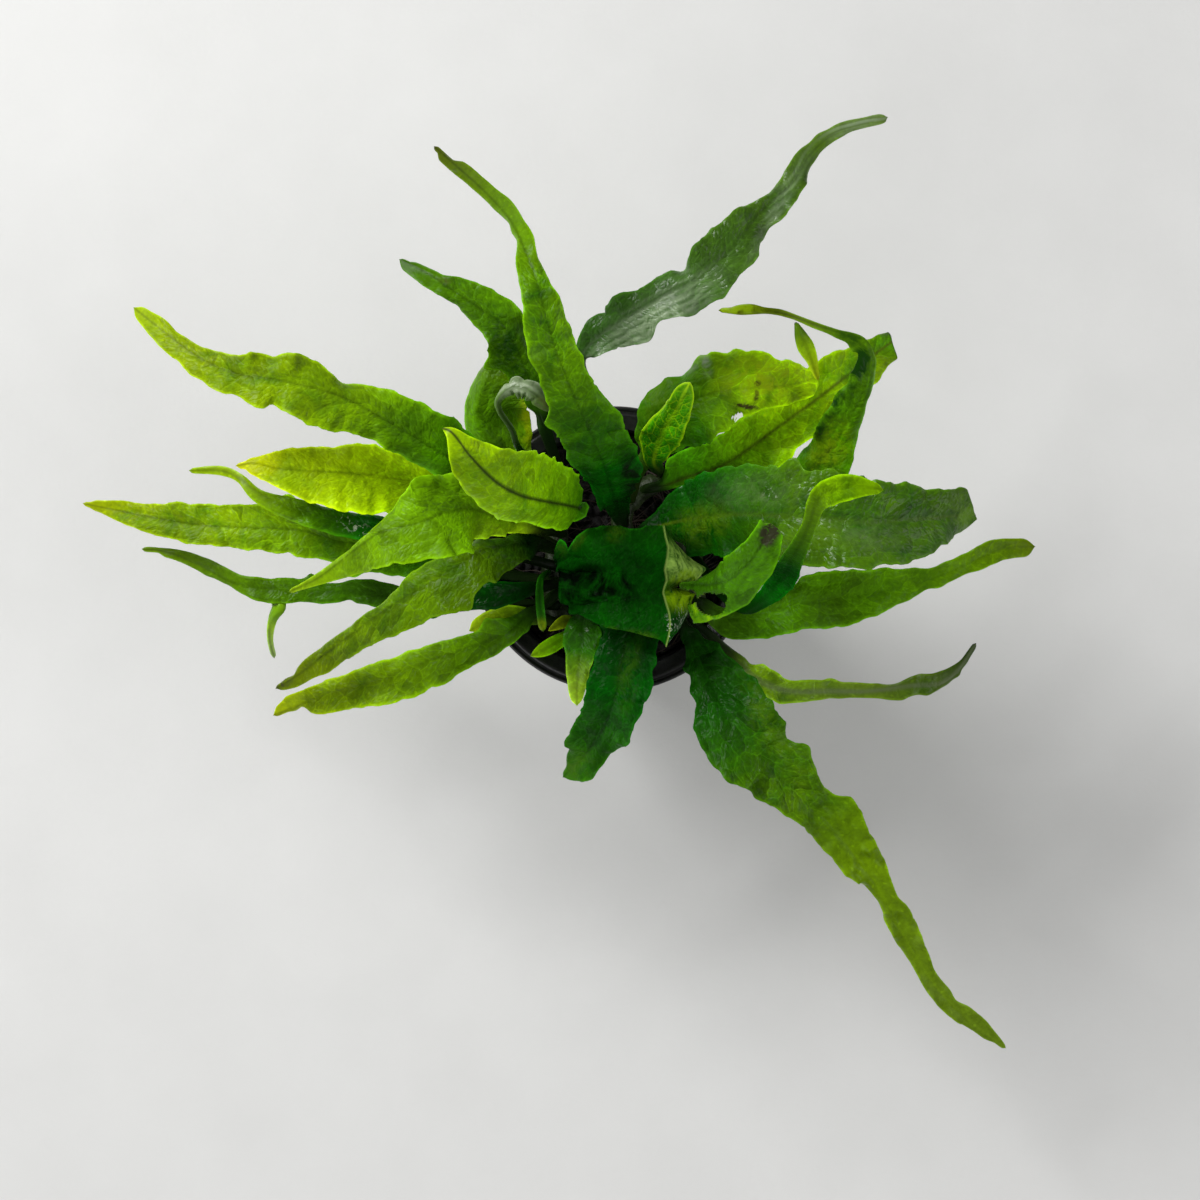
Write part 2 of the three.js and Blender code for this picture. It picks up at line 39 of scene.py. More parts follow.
# All shapes are worked out in millimetres and turned to metres when a mesh is made.
# The plan positions of the leaves are given as they look from straight above at the height of the rim, from
# a viewpoint that stands viewHeight over the rim and over viewCentre.
metre = 1000
potHeight = 50
viewHeight = 600
viewCentre = np.array([-2.6, -9.5])
waveParts = ((0.55, 1), (0.3, 1.83), (0.15, 3.37))  # height and pace of the sines in uneven waves
cellSpots = dict(count=97, spread=0.8, least=0.1)  # where the point of a unit square may stand
netLooseness = 0.85  # how far the points of the vein net stand off an even grid
cloudRange = (0.3, 0.7)  # most values of a noise lie between these
noiseMiddle = (0.5, 0.5, 0.5)


def unit(vectors):
    # Each vector divided by its length
    return vectors / np.maximum(np.linalg.norm(vectors, axis=-1, keepdims=True), 1e-9)


def ramp(low, high, x):
    # Smooth step: w * w * (3 - 2 * w), where w goes from 0 at low to 1 at high
    w = np.clip((x - low) / (high - low), 0, 1)
    return w * w * (3 - 2 * w)


def throughRows(rows, t):
    # Catmull-Rom: between two rows the cubic that leaves each with half the step between its neighbours
    ends = np.vstack([2 * rows[0] - rows[1], rows, 2 * rows[-1] - rows[-2]])
    place = t * (len(rows) - 1)
    i = np.minimum(place.astype(int), len(rows) - 2)
    w = (place - i)[:, None]
    before, start, stop, after = ends[i], ends[i + 1], ends[i + 2], ends[i + 3]
    out, into = (stop - before) / 2, (after - start) / 2
    square = 3 * (stop - start) - 2 * out - into
    cube = 2 * (start - stop) + out + into
    return start + out * w + square * w**2 + cube * w**3


def waves(x, period, seed):
    # Uneven waves between about -1 and 1: the sum of height * sin(pace * 2 * pi * x / period + phase)
    phases = np.random.default_rng(seed).random(len(waveParts)) * 2 * np.pi
    turn = 2 * np.pi * x / period
    return sum(height * np.sin(pace * turn + phase) for (height, pace), phase in zip(waveParts, phases))


def cellGaps(a, b, seed):
    # One point stands in each unit square, off its middle: the distances from (a, b) to the nearest two
    count = cellSpots["count"]
    spot = np.random.default_rng(seed).random((count, count, 2)) * cellSpots["spread"] + cellSpots["least"]
    column, row = np.floor(a).astype(int), np.floor(b).astype(int)
    near = []
    for da in (-1, 0, 1):
        for db in (-1, 0, 1):
            i, j = column + da, row + db
            point = spot[i % count, j % count]
            near.append(np.hypot(i + point[..., 0] - a, j + point[..., 1] - b))
    near = np.sort(near, axis=0)
    return near[0], near[1]


def shell(top, under, keep, wrap=False):
    # A closed sheet between two grids of points. Cells that aren't kept are open, and one wall of quads
    # joins the grids along every open side. Cell corners: a, then b one row on, c beside b, d beside a.
    rows, columns = top.shape[:2]
    index = np.arange(rows * columns).reshape(rows, columns)
    if wrap:
        index = np.vstack([index, index[:1]])
    a, b, c, d = index[:-1, :-1], index[1:, :-1], index[1:, 1:], index[:-1, 1:]
    lower = rows * columns
    kept = np.pad(keep, 1)
    if wrap:
        kept[0], kept[-1] = kept[-2], kept[1]
    quads = [np.stack([a, b, c, d], -1)[keep], np.stack([a, d, c, b], -1)[keep] + lower]
    sides = (
        (a, b, kept[1:-1, :-2]),
        (b, c, kept[2:, 1:-1]),
        (c, d, kept[1:-1, 2:]),
        (d, a, kept[:-2, 1:-1]),
    )
    for start, stop, neighbour in sides:
        free = keep & ~neighbour
        p, q = start[free], stop[free]
        quads.append(np.stack([q, p, p + lower, q + lower], -1))
    quads = np.concatenate(quads)
    used, quads = np.unique(quads, return_inverse=True)
    points = np.concatenate([top.reshape(-1, 3), under.reshape(-1, 3)])[used]
    return points, quads.reshape(-1, 4), used


def tubes(paths, radii, sides):
    # Round a path: centre + radius * (cos(angle) * side + sin(angle) * other), both ends capped
    count, stations = paths.shape[:2]
    along = unit(np.gradient(paths, axis=1))
    side = unit(np.cross(along, np.array([0.31, 0.17, 1.0])))  # a direction that no path follows
    other = np.cross(along, side)
    angle = np.linspace(0, 2 * np.pi, sides, endpoint=False)[None, None, :, None]
    ring = np.cos(angle) * side[:, :, None] + np.sin(angle) * other[:, :, None]
    points = paths[:, :, None] + np.broadcast_to(radii, (count, stations, sides))[..., None] * ring
    index = np.arange(count * stations * sides).reshape(count, stations, sides)
    here, beside = index, np.roll(index, -1, axis=2)
    quads = np.stack([here[:, :-1], beside[:, :-1], beside[:, 1:], here[:, 1:]], -1).reshape(-1, 4)
    caps = index[:, 0, ::-1].tolist() + index[:, -1].tolist()
    return points.reshape(-1, 3), quads.tolist() + caps


def meshPiece(name, points, faces, material, node=None, values=None):
    # A mesh in metres with its values per point; it rides on the plant's body and takes the place of node
    mesh = bpy.data.meshes.new(name)
    mesh.from_pydata((points / metre).tolist(), [], faces if isinstance(faces, list) else faces.tolist())
    for key, value in (values or {}).items():
        if value.ndim > 1:
            layer = mesh.attributes.new(key, "FLOAT_VECTOR", "POINT")
            layer.data.foreach_set("vector", value.astype(np.float32).ravel())
        else:
            layer = mesh.attributes.new(key, "FLOAT", "POINT")
            layer.data.foreach_set("value", value.astype(np.float32))
    mesh.shade_smooth()
    piece = bpy.data.objects.new(name, mesh)
    bpy.context.scene.collection.objects.link(piece)
    mesh.materials.append(material)
    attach(piece, "root")
    if node:
        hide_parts(node)


class Graph:
    # Short names for building a material's nodes
    def __init__(self, name):
        self.material = bpy.data.materials.new(name)
        self.material.use_nodes = True
        self.tree = self.material.node_tree
        self.tree.nodes.clear()
        self.coordinates = self.tree.nodes.new("ShaderNodeTexCoord")

    def feed(self, socket, value):
        if isinstance(value, bpy.types.NodeSocket):
            self.tree.links.new(value, socket)
        elif isinstance(value, tuple):
            socket.default_value = (*value, 1) if len(socket.default_value) == 4 else value
        else:
            socket.default_value = value

    def node(self, kind, inputs, **settings):
        node = self.tree.nodes.new("ShaderNode" + kind)
        for key, setting in settings.items():
            setattr(node, key, setting)
        for key, value in inputs.items():
            self.feed(node.inputs[key], value)
        return node

    def value(self, name, output="Fac"):
        return self.node("Attribute", {}, attribute_name=name).outputs[output]

    def vector(self, operation, a, b):
        return self.node("VectorMath", {0: a, 1: b}, operation=operation).outputs[0]

    def scaled(self, vector, factor):
        return self.node("VectorMath", {0: vector, "Scale": factor}, operation="SCALE").outputs[0]

    def cells(self, place, scale, feature="DISTANCE_TO_EDGE", output="Distance"):
        inputs = {"Vector": place, "Scale": scale, "Randomness": netLooseness}
        return self.node("TexVoronoi", inputs, feature=feature, voronoi_dimensions="2D").outputs[output]

    def noise(self, scale, detail=3, roughness=0.55, distortion=0, output="Fac"):
        inputs = {"Vector": self.coordinates.outputs["Object"], "Scale": scale, "Detail": detail,
                  "Roughness": roughness, "Distortion": distortion}
        return self.node("TexNoise", inputs).outputs[output]

    def math(self, operation, a, b=0.0):
        return self.node("Math", {0: a, 1: b}, operation=operation).outputs[0]

    def times(self, *factors):
        product = factors[0]
        for factor in factors[1:]:
            product = self.math("MULTIPLY", product, factor)
        return product

    def span(self, value, low, high, first=0.0, last=1.0):
        # low to high is turned evenly into first to last, and nothing goes past either
        return self.node("MapRange", dict(enumerate((value, low, high, first, last)))).outputs[0]

    def mix(self, share, first, second):
        return self.node("Mix", {"Factor": share, 6: first, 7: second}, data_type="RGBA").outputs[2]

    def stops(self, value, stops):
        node = self.node("ValToRGB", {0: value})
        band = node.color_ramp.elements
        while len(band) < len(stops):
            band.new(0.5)
        for element, (place, colour) in zip(band, stops):
            element.position = place
            element.color = (*colour, 1)
        return node.outputs[0]

    def bump(self, height, distance):
        inputs = {"Height": height, "Distance": distance, "Strength": 1.0}
        return self.node("Bump", inputs).outputs["Normal"]

    def surface(self, colour, roughness, normal, constants, glow=None):
        # glow is the share of the light that comes through the piece
        inputs = {"Base Color": colour, "Roughness": roughness, "Normal": normal, **constants}
        result = self.node("BsdfPrincipled", inputs).outputs[0]
        if glow:
            through = self.node("BsdfTranslucent", {"Color": colour}).outputs[0]
            result = self.node("MixShader", {0: glow, 1: result, 2: through}).outputs[0]
        self.node("OutputMaterial", {"Surface": result})
        return self.material

    def grainy(self, colour, cloud, look):
        # A finish whose roughness follows the clouds of its colour, over a fine relief of noise
        roughness = self.span(cloud, *cloudRange, *look["roughness"])
        relief = self.bump(self.noise(*look["grain"]), look["grainHeight"])
        return self.surface(colour, roughness, relief, {"IOR": look["ior"]})


# Net pot: floor, tapered wall, flat rim with a groove between its lip and its inner ring
pot = dict(
    steps=480, baseRadius=18, topRadius=23.8, wall=1.2, wallFoot=1.6, wallTop=47.2, wallRings=24,
    slotColumns=12, slotHalfSteps=7, slotRows=((6, 22), (26, 42)),
    floorMiddle=(0.05, 4), floorRings=8, floorEdge=(16.4, 17.4), floorInside=0.96,
    floorSlots=6, floorSlotHalfSteps=11, floorSlotReach=(8.5, 15), floorLevel=0.1,
    corner=0.5, insideCorner=0.3, rimJoint=0.1,
    flange=((23.6, 47.6), (25.9, 47.6), (26.45, 47.9), (26.65, 48.7), (26.65, 49.5), (26.5, 49.9),
            (26.25, 50), (26.0, 49.85), (25.85, 49.5), (25.6, 49.42), (25.45, 49.6), (25.25, 49.85),
            (24.9, 49.9), (24.5, 49.75), (23.8, 49.2), (22.75, 48.7)),
    black=(0.006, 0.0065, 0.006), worn=(0.03, 0.031, 0.029), cloud=(120, 4), scuff=(900, 5, 0.7),
    scuffSpan=(0.52, 0.75), roughness=(0.3, 0.5), grain=(2500, 2), grainHeight=0.00006, ior=1.5,
)


def wallRadius(z):
    # Outer radius of the tapered wall: base radius + (top radius - base radius) * z / height
    return pot["baseRadius"] + (pot["topRadius"] - pot["baseRadius"]) * z / potHeight


def potSheets():
    # A profile of radius and height turned round the z axis, once for the outside and once for the inside
    wall = pot["wall"]
    slotReach = np.linspace(*pot["floorSlotReach"], pot["floorRings"])
    floorRadii = np.array([*pot["floorMiddle"], *slotReach, *pot["floorEdge"]])
    slotEdges = [edge for row in pot["slotRows"] for edge in row]
    rings = np.linspace(pot["wallFoot"], pot["wallTop"], pot["wallRings"])
    heights = np.unique(np.round(np.concatenate([rings, slotEdges]), 2))
    flange = np.array(pot["flange"])
    outer = np.concatenate([
        np.stack([floorRadii, np.zeros(len(floorRadii))], 1),
        [[wallRadius(0), pot["corner"]]],
        np.stack([wallRadius(heights), heights], 1),
        flange,
    ])
    rise = np.linspace(pot["wallTop"] + pot["rimJoint"], flange[-1, 1] - pot["rimJoint"], len(flange))
    inner = np.concatenate([
        np.stack([floorRadii * pot["floorInside"], np.full(len(floorRadii), wall)], 1),
        [[wallRadius(0) - wall, wall + pot["insideCorner"]]],
        np.stack([wallRadius(heights) - wall, np.maximum(heights, wall + pot["corner"])], 1),
        np.stack([wallRadius(rise) - wall, rise], 1),
    ])
    angle = np.linspace(0, 2 * np.pi, pot["steps"], endpoint=False)[:, None]
    turned = [
        np.stack([np.cos(angle) * line[:, 0], np.sin(angle) * line[:, 0], line[:, 1] + 0 * angle], -1)
        for line in (outer, inner)
    ]
    middle = (outer[1:] + outer[:-1]) / 2
    step = np.arange(pot["steps"])[:, None] + 0.5
    column = pot["steps"] / pot["slotColumns"]
    inColumn = np.abs(step % column - column / 2) < pot["slotHalfSteps"]
    floorColumn = pot["steps"] / pot["floorSlots"]
    fromFloorSlot = np.abs((step + floorColumn / 2) % floorColumn - floorColumn / 2)
    inFloorColumn = fromFloorSlot < pot["floorSlotHalfSteps"]
    inRows = sum((middle[:, 1] > low) & (middle[:, 1] < high) for low, high in pot["slotRows"]).astype(bool)
    inRows &= np.arange(len(middle)) >= len(floorRadii)
    low, high = pot["floorSlotReach"]
    inFloor = (middle[:, 0] > low) & (middle[:, 0] < high) & (middle[:, 1] < pot["floorLevel"])
    keep = ~((inColumn & inRows[None]) | (inFloorColumn & inFloor[None]))
    return shell(turned[0], turned[1], keep, wrap=True)


def potMaterial():
    g = Graph("potPlastic")
    cloud = g.noise(*pot["cloud"])
    scuff = g.span(g.noise(*pot["scuff"]), *pot["scuffSpan"])
    return g.grainy(g.mix(g.times(scuff, cloud), pot["black"], pot["worn"]), cloud, pot)


points, quads, _ = potSheets()
meshPiece("netPot", points, quads, potMaterial(), "net_pot")
print("pot built")


# Growing medium: a dark fibrous plug with a rough top
medium = dict(
    top=45, low=1.5, gap=1.5, steps=300, floorRings=8, sideRings=60, coverRings=90, middle=0.05,
    sideFrom=0.6, sideTo=2, coverInset=0.2,
    closing=(42.1, 42.9), lip=0.36,  # above the slots the fibre lies against the wall
    clump=2.2, crumb=0.8, clumpRise=1.2, clumpEdge=0.6, clumpDip=0.5, crumbDip=0.3,
    sideCell=2.5, sideTurn=22, sideDip=0.025, coverFade=1, sideFade=1, crumbShift=3,
    clumpSeed=5, crumbSeed=6, sideSeed=7,
    dark=(0.0015, 0.0014, 0.001), brown=(0.006, 0.004, 0.0025), light=(0.05, 0.04, 0.028),
    patch=(260, 5, 0.65), patchSpan=(0.4, 0.7), speck=(1400, 2), speckSpan=(0.74, 0.8), speckShare=0.5,
    roughness=(0.75, 0.95), grain=(2200, 4, 0.7), grainHeight=0.0004, ior=1.4,
)


def mediumSkin():
    # A turned profile. Its top moves up by cells: rise * ramp(second - nearest) - dip * nearest - crumbs,
    # and its side moves in by dip * nearest, except above the slots.
    low, top, gap, middle = medium["low"], medium["top"], medium["gap"], medium["middle"]
    floorRings, coverRings = medium["floorRings"], medium["coverRings"]
    bottom = np.stack([np.linspace(middle, wallRadius(low) - gap, floorRings), np.full(floorRings, low)], 1)
    heights = np.linspace(low + medium["sideFrom"], top - medium["sideTo"], medium["sideRings"])
    lip = medium["lip"] * ramp(*medium["closing"], heights)
    side = np.stack([wallRadius(heights) - gap + lip, heights], 1)
    coverRadii = np.linspace(wallRadius(top) - gap - medium["coverInset"], middle, coverRings)
    line = np.concatenate([bottom, side, np.stack([coverRadii, np.full(coverRings, top)], 1)])
    angle = np.linspace(0, 2 * np.pi, medium["steps"], endpoint=False)[None]
    r, z = line[:, :1], line[:, 1:] + 0 * angle
    x, y = r * np.cos(angle), r * np.sin(angle)
    up = ramp(top - medium["coverFade"], top, z)
    near, second = cellGaps(x / medium["clump"], y / medium["clump"], medium["clumpSeed"])
    shifted = x / medium["crumb"] + medium["crumbShift"]
    crumbNear, _ = cellGaps(shifted, y / medium["crumb"], medium["crumbSeed"])
    rise = medium["clumpRise"] * ramp(0, medium["clumpEdge"], second - near)
    height = z + up * (rise - medium["clumpDip"] * near - medium["crumbDip"] * crumbNear)
    around = angle * medium["sideTurn"] / medium["sideCell"] + 0 * z
    ring, _ = cellGaps(around, z / medium["sideCell"], medium["sideSeed"])
    loose = ramp(low, low + medium["sideFade"], z) * (1 - ramp(*medium["closing"], z))
    shrink = 1 - loose * medium["sideDip"] * ring
    grid = np.stack([x * shrink, y * shrink, height], -1)
    index = np.arange(grid.shape[0] * grid.shape[1]).reshape(grid.shape[:2])
    beside = np.roll(index, -1, axis=1)
    quads = np.stack([index[:-1], beside[:-1], beside[1:], index[1:]], -1).reshape(-1, 4)
    return grid.reshape(-1, 3), quads.tolist() + [index[0, ::-1].tolist(), index[-1].tolist()]


def mediumMaterial():
    g = Graph("growingMedium")
    patch = g.noise(*medium["patch"])
    colour = g.mix(g.span(patch, *medium["patchSpan"]), medium["dark"], medium["brown"])
    speck = g.span(g.noise(*medium["speck"]), *medium["speckSpan"])
    colour = g.mix(g.times(speck, medium["speckShare"]), colour, medium["light"])
    return g.grainy(colour, patch, medium)


points, faces = mediumSkin()
meshPiece("growingMedium", points, faces, mediumMaterial(), "growing_medium")
print("medium built")


# Creeping stems: knobbly rods on the medium
stems = dict(
    radius=2.2, height=47.5, stations=160, sides=40, rise=0.3, risePeriod=0.4, seed=40,
    lines=dict(
        creeping_stem_left=((-13.8, 14.2), (-10.5, 9), (-10.6, 2), (-11.4, -5), (-11, -11), (-7.6, -15)),
        creeping_stem_centre=((9, 13.4), (4.8, 10.6), (1.7, 7), (2.4, 1.5), (4.6, -3.5), (5, -9)),
        creeping_stem_right=((13.2, 6), (14.2, 0), (15.4, -6), (14.8, -11), (12.6, -14.6)),
    ),
    knobsAlong=9, knobsRound=1.2, knobStart=2, fullness=1.02, knobDip=0.3, bulge=0.05, bulgePace=3,
    bulgePeriod=2, endPower=14, leastEnd=0.0004,
    dark=(0.005, 0.006, 0.002), green=(0.015, 0.03, 0.005), pale=(0.04, 0.05, 0.02),
    cloud=(420, 4, 0.6), bands=(0.3, 0.55, 0.78),
    roughness=(0.6, 0.4), grain=(1800, 4), grainHeight=0.0003, ior=1.42,
)


def stemSkin(line, seed):
    # Radius * (1 + lumps), where the lumps are uneven cells round the rod.
    # The ends close as sqrt(1 - w ** power), where w goes from 0 in the middle to 1 at an end.
    t = np.linspace(0, 1, stems["stations"])
    plan = throughRows(np.array(line, float), t)
    path = np.concatenate([plan, np.full((stems["stations"], 1), stems["height"])], 1)
    path[:, 2] += stems["rise"] * waves(t, stems["risePeriod"], seed)
    around = np.linspace(0, 2 * np.pi, stems["sides"], endpoint=False)[None]
    knobsRound = np.cos(around) * stems["knobsRound"] + stems["knobStart"] + 0 * t[:, None]
    near, _ = cellGaps(t[:, None] * stems["knobsAlong"] + 0 * around, knobsRound, seed)
    close = np.sqrt(np.clip(1 - (2 * np.abs(t - 0.5)) ** stems["endPower"], stems["leastEnd"], 1))[:, None]
    bulge = stems["bulge"] * waves(around * stems["bulgePace"], stems["bulgePeriod"], seed)
    radii = stems["radius"] * close * (stems["fullness"] - stems["knobDip"] * near + bulge)
    return tubes(path[None], radii[None], stems["sides"])


def stemMaterial():
    g = Graph("creepingStem")
    cloud = g.noise(*stems["cloud"])
    colour = g.stops(cloud, tuple(zip(stems["bands"], (stems["dark"], stems["green"], stems["pale"]))))
    return g.grainy(colour, cloud, stems)


stemLook = stemMaterial()
for number, (name, line) in enumerate(stems["lines"].items()):
    points, faces = stemSkin(line, stems["seed"] + number)
    meshPiece(name + "_skin", points, faces, stemLook, name)
print("creeping stems built")


# Root hairs: fine dark threads that leave the stems and wander over the medium
roots = dict(
    count=420, stations=14, sides=5, radius=0.16, seed=11, startsPerStem=60,
    bend=3, length=(4, 12), reach=21, height=45.6, arch=(0.3, 3.4), archFall=1.5, lift=0.4, liftPace=3,
    footWidth=1.05, taper=0.9, leastReach=0.1,
    dark=(0.006, 0.004, 0.002), brown=(0.035, 0.02, 0.01), cloud=(300, 3), cloudSpan=(0.35, 0.7),
    roughness=(0.5, 0.7), grain=(3000, 2), grainHeight=0.00005, ior=1.4,
)


def rootPaths():
    # From a point on a stem outward: start + sum of steps whose heading turns evenly with w,
    # at a height of medium + arch * (1 - w) ** fall + a small wave of the heading
    rng = np.random.default_rng(roots["seed"])
    count, perStem = roots["count"], roots["startsPerStem"]
    t = np.linspace(0, 1, perStem)
    lines = [throughRows(np.array(line, float), t) for line in stems["lines"].values()]
    starts = np.concatenate(lines)[rng.integers(0, perStem * len(lines), count)]
    w = np.linspace(0, 1, roots["stations"])[None]
    heading = rng.random((count, 1)) * 2 * np.pi
    turn = heading + (rng.random((count, 1)) - 0.5) * roots["bend"] * w
    length = rng.uniform(*roots["length"], (count, 1)) / roots["stations"]
    x = starts[:, :1] + np.cumsum(np.cos(turn) * length, 1)
    y = starts[:, 1:] + np.cumsum(np.sin(turn) * length, 1)
    inside = np.minimum(1, roots["reach"] / np.maximum(np.hypot(x, y), roots["leastReach"]))
    arch = rng.uniform(*roots["arch"], (count, 1)) * (1 - w) ** roots["archFall"]
    z = roots["height"] + arch + roots["lift"] * np.sin(turn * roots["liftPace"])
    radii = roots["radius"] * (roots["footWidth"] - w * roots["taper"])
    return np.stack([x * inside, y * inside, z], -1), radii


def rootMaterial():
    g = Graph("rootHair")
    cloud = g.noise(*roots["cloud"])
    colour = g.mix(g.span(cloud, *roots["cloudSpan"]), roots["dark"], roots["brown"])
    return g.grainy(colour, cloud, roots)


paths, radii = rootPaths()
points, faces = tubes(paths, radii[..., None], roots["sides"])
meshPiece("rootHairs", points, faces, rootMaterial())
print("root hairs built")


# Leaves. A row of a midrib is plan x, plan y, height over the rim, width left of the midrib, width right
# of it, with plan and widths read off the photo.
# left, right: half widths at even steps from foot to tip, in place of the rows' own. Most weren't chosen by
# hand. A scratch program measured those of fifteen leaves, and of the far part of leaf_hooked_long, from the
# leaf edges in the photo. Another worked out most of the rest from outline points read by eye. The colours
# of 31 leaves (foot, low, mid, tip, deep) were scaled toward averages of the photo. A few of these numbers
# were changed afterwards.
# trough: how far the margins stand over the midrib, as a share of the width.
# ruffle: height and period.
# startCut, endCut: how far the start or end stands back, at places from the right margin (-1) to the left
# one (1).
# nicks: x, y, side, depth, length. holes: x, y, half length, half width, turn.
# bumps: x, y, radius, height. hang: how much the left and the right half hang down.
# sway: sideways shifts of the middle, from foot to tip.
# Patches (grey, brown, bright, glint, shade): x, y, half length, half width, turn in degrees, strength.
# Grey is a painted sheen, glint painted highlights, shade painted shade. Bright is in part yellowed tissue
# and in part painted light on lit rims, lobes and folds; brown is browned tissue, except on
# leaf_centre_ruffled, where it is painted light.
# bare: the leaf starts with no foot and no stalk.
# Colours run from foot over low and mid to tip along the leaf, with clouds of deep. The dark foot and low
# colours are partly the leaf's own darker base and partly painted shade where the leaves crowd at the middle
# of the plant; many leaves' colours were also set lighter or darker for how lit or shaded the leaf lies, so
# they hold painted light and shade as well as the leaf's own green.
shape = dict(
    stepAlong=0.5, stepAcross=0.5, moreStations=8, leastColumns=10, mostColumns=90, lastColumn=0.975,
    fineSteps=2500, frameSmoothing=5, footDepth=3.2, leastHalf=0.5, seed=100, seedStep=10,
    endCutReach=5, startCutReach=4, sideBlend=0.12, bladeWidths=(1.0, 2.6), stalkWidths=(0.9, 2.4),
    stalkEnd=(0.3, 0.55), uneven=0.05, marginPeriod=5.5, nickSide=0.5, nickPower=1.7, endRound=(0.8, 1.1),
    leastEnd=0.0009, fold=0.45, ruffle=(0.8, 16), ruffleShare=0.35, ruffleShorter=2.7, rufflePower=1.8,
    tipFade=0.12, tipReach=1.02, groove=0.3, grooveWidth=0.9, dents=0.45, dentPeriods=(11, 7),
    dentSlant=(0.7, 0.3), hangPower=1.2, swayReach=2.5, cell=(3.3, 2.8), cellSlant=0.6,
    ribWidths=(0.2, 0.22), halfThickness=0.2, thinning=0.65, stalkRound=0.8, stalkOpen=0.96,
    ridge=0.4, ridgeWidth=0.6, ridgeEnd=0.06, edgeWidth=0.22, veinFade=0.15,
    streakPeriod=1.3, streakSlant=0.04, streakWander=(0.3, 23), patchPower=1.5, stalkRib=0.5,
    bladePower=10, thinPower=6, ridgePower=0.5, veinsUntil=2,
)
tones = dict(
    veinTone=1.38, dotTone=1.35, patchTone=(1.16, 0.74), ribTone=0.62, edgeTone=1.7, ribShow=0.7,
    greenFrom=0.22, midFrom=0.55, tipFrom=1, stray=0.7, relief=1,
)
grains = dict(
    cloud=(125, 4, 0.62, 0.6), cloudSpan=(0.42, 0.68, 0, 0.75),
    fine=(520, 4, 0.65), fineSpan=(0.3, 0.7, 0.86, 1.18),
    speckle=(1500, 2, 0.6), speckleSpan=(0.35, 0.65, 0.9, 1.1), strayGrain=(260, 2), narrowCells=2.7,
    wideLine=(0.0, 0.07, 1, 0), narrowLine=(0.0, 0.09, 0.45, 0), patchFrom=0.2, dotSpan=(0.06, 0.12),
    inkedLines=0.6, smoother=0.14, rougher=0.06, patchDetail=(4, 0.7, 0.8), streakSpan=(0.25, 0.8, 0.3, 1),
    streakGrain=(0.75, 1), underShare=0.4, quiltSpan=(0, 0.3), quilt=0.6, smallQuilt=0.3, fineRelief=0.4,
    reliefHeight=0.0002, ior=1.42, shine=0.7,
)
families = dict(
    leaf_fresh=dict(
        foot=(0.006, 0.014, 0.003), low=(0.035, 0.11, 0.003), mid=(0.12, 0.28, 0.005),
        tip=(0.15, 0.25, 0.006), deep=(0.05, 0.14, 0.003), stalkColour=(0.01, 0.025, 0.004),
        underColour=(0.17, 0.27, 0.05), rough=0.4, gloss=0.12, glow=0.12,
    ),
    leaf_yellow=dict(
        foot=(0.01, 0.03, 0.003), low=(0.14, 0.26, 0.005), mid=(0.32, 0.46, 0.01),
        tip=(0.36, 0.45, 0.012), deep=(0.16, 0.3, 0.006), stalkColour=(0.02, 0.04, 0.005),
        underColour=(0.3, 0.4, 0.08), rough=0.42, gloss=0.12, glow=0.14,
    ),
    leaf_mid=dict(
        foot=(0.004, 0.01, 0.002), low=(0.012, 0.06, 0.002), mid=(0.07, 0.18, 0.004),
        tip=(0.1, 0.19, 0.006), deep=(0.025, 0.09, 0.003), stalkColour=(0.006, 0.015, 0.003),
        underColour=(0.12, 0.2, 0.05), rough=0.38, gloss=0.12, glow=0.1,
    ),
    leaf_dark=dict(
        foot=(0.003, 0.008, 0.002), low=(0.006, 0.03, 0.002), mid=(0.02, 0.08, 0.003),
        tip=(0.05, 0.12, 0.004), deep=(0.006, 0.03, 0.002), stalkColour=(0.004, 0.01, 0.002),
        underColour=(0.07, 0.13, 0.03), rough=0.34, gloss=0.14, glow=0.08,
    ),
    leaf_grey=dict(
        foot=(0.004, 0.012, 0.003), low=(0.01, 0.05, 0.003), mid=(0.05, 0.13, 0.015),
        tip=(0.08, 0.15, 0.02), deep=(0.015, 0.06, 0.004), stalkColour=(0.006, 0.014, 0.004),
        underColour=(0.11, 0.17, 0.06), rough=0.33, gloss=0.3, glow=0.08,
    ),
    leaf_pale=dict(
        foot=(0.01, 0.02, 0.004), low=(0.1, 0.18, 0.03), mid=(0.22, 0.33, 0.09), tip=(0.28, 0.34, 0.1),
        deep=(0.1, 0.19, 0.03), stalkColour=(0.01, 0.02, 0.004), underColour=(0.4, 0.44, 0.3), rough=0.32,
        gloss=0.3, glow=0.12,
    ),
)
patchKinds = dict(
    # grey: painted sheen, a greyish reflection; on the flap of leaf_centre_ruffled and the cap of
    # leaf_hooked_small it also pales their underside
    grey=dict(colour=(0.22, 0.27, 0.19), grain=420, clear=(0.36, 0.6)),
    brown=dict(colour=(0.07, 0.05, 0.02), grain=600, clear=(0.36, 0.6)),
    # bright: lighter yellow-green, in part yellowed tissue and in part painted light
    bright=dict(colour=(0.33, 0.5, 0.012), grain=300, clear=(0.36, 0.6)),
    # glint: painted highlights, small white reflections
    glint=dict(colour=(0.62, 0.68, 0.56), grain=1100, clear=(0.56, 0.62)),
    shade=dict(colour=(0.003, 0.012, 0.002), grain=200, clear=(0.36, 0.6)),
)
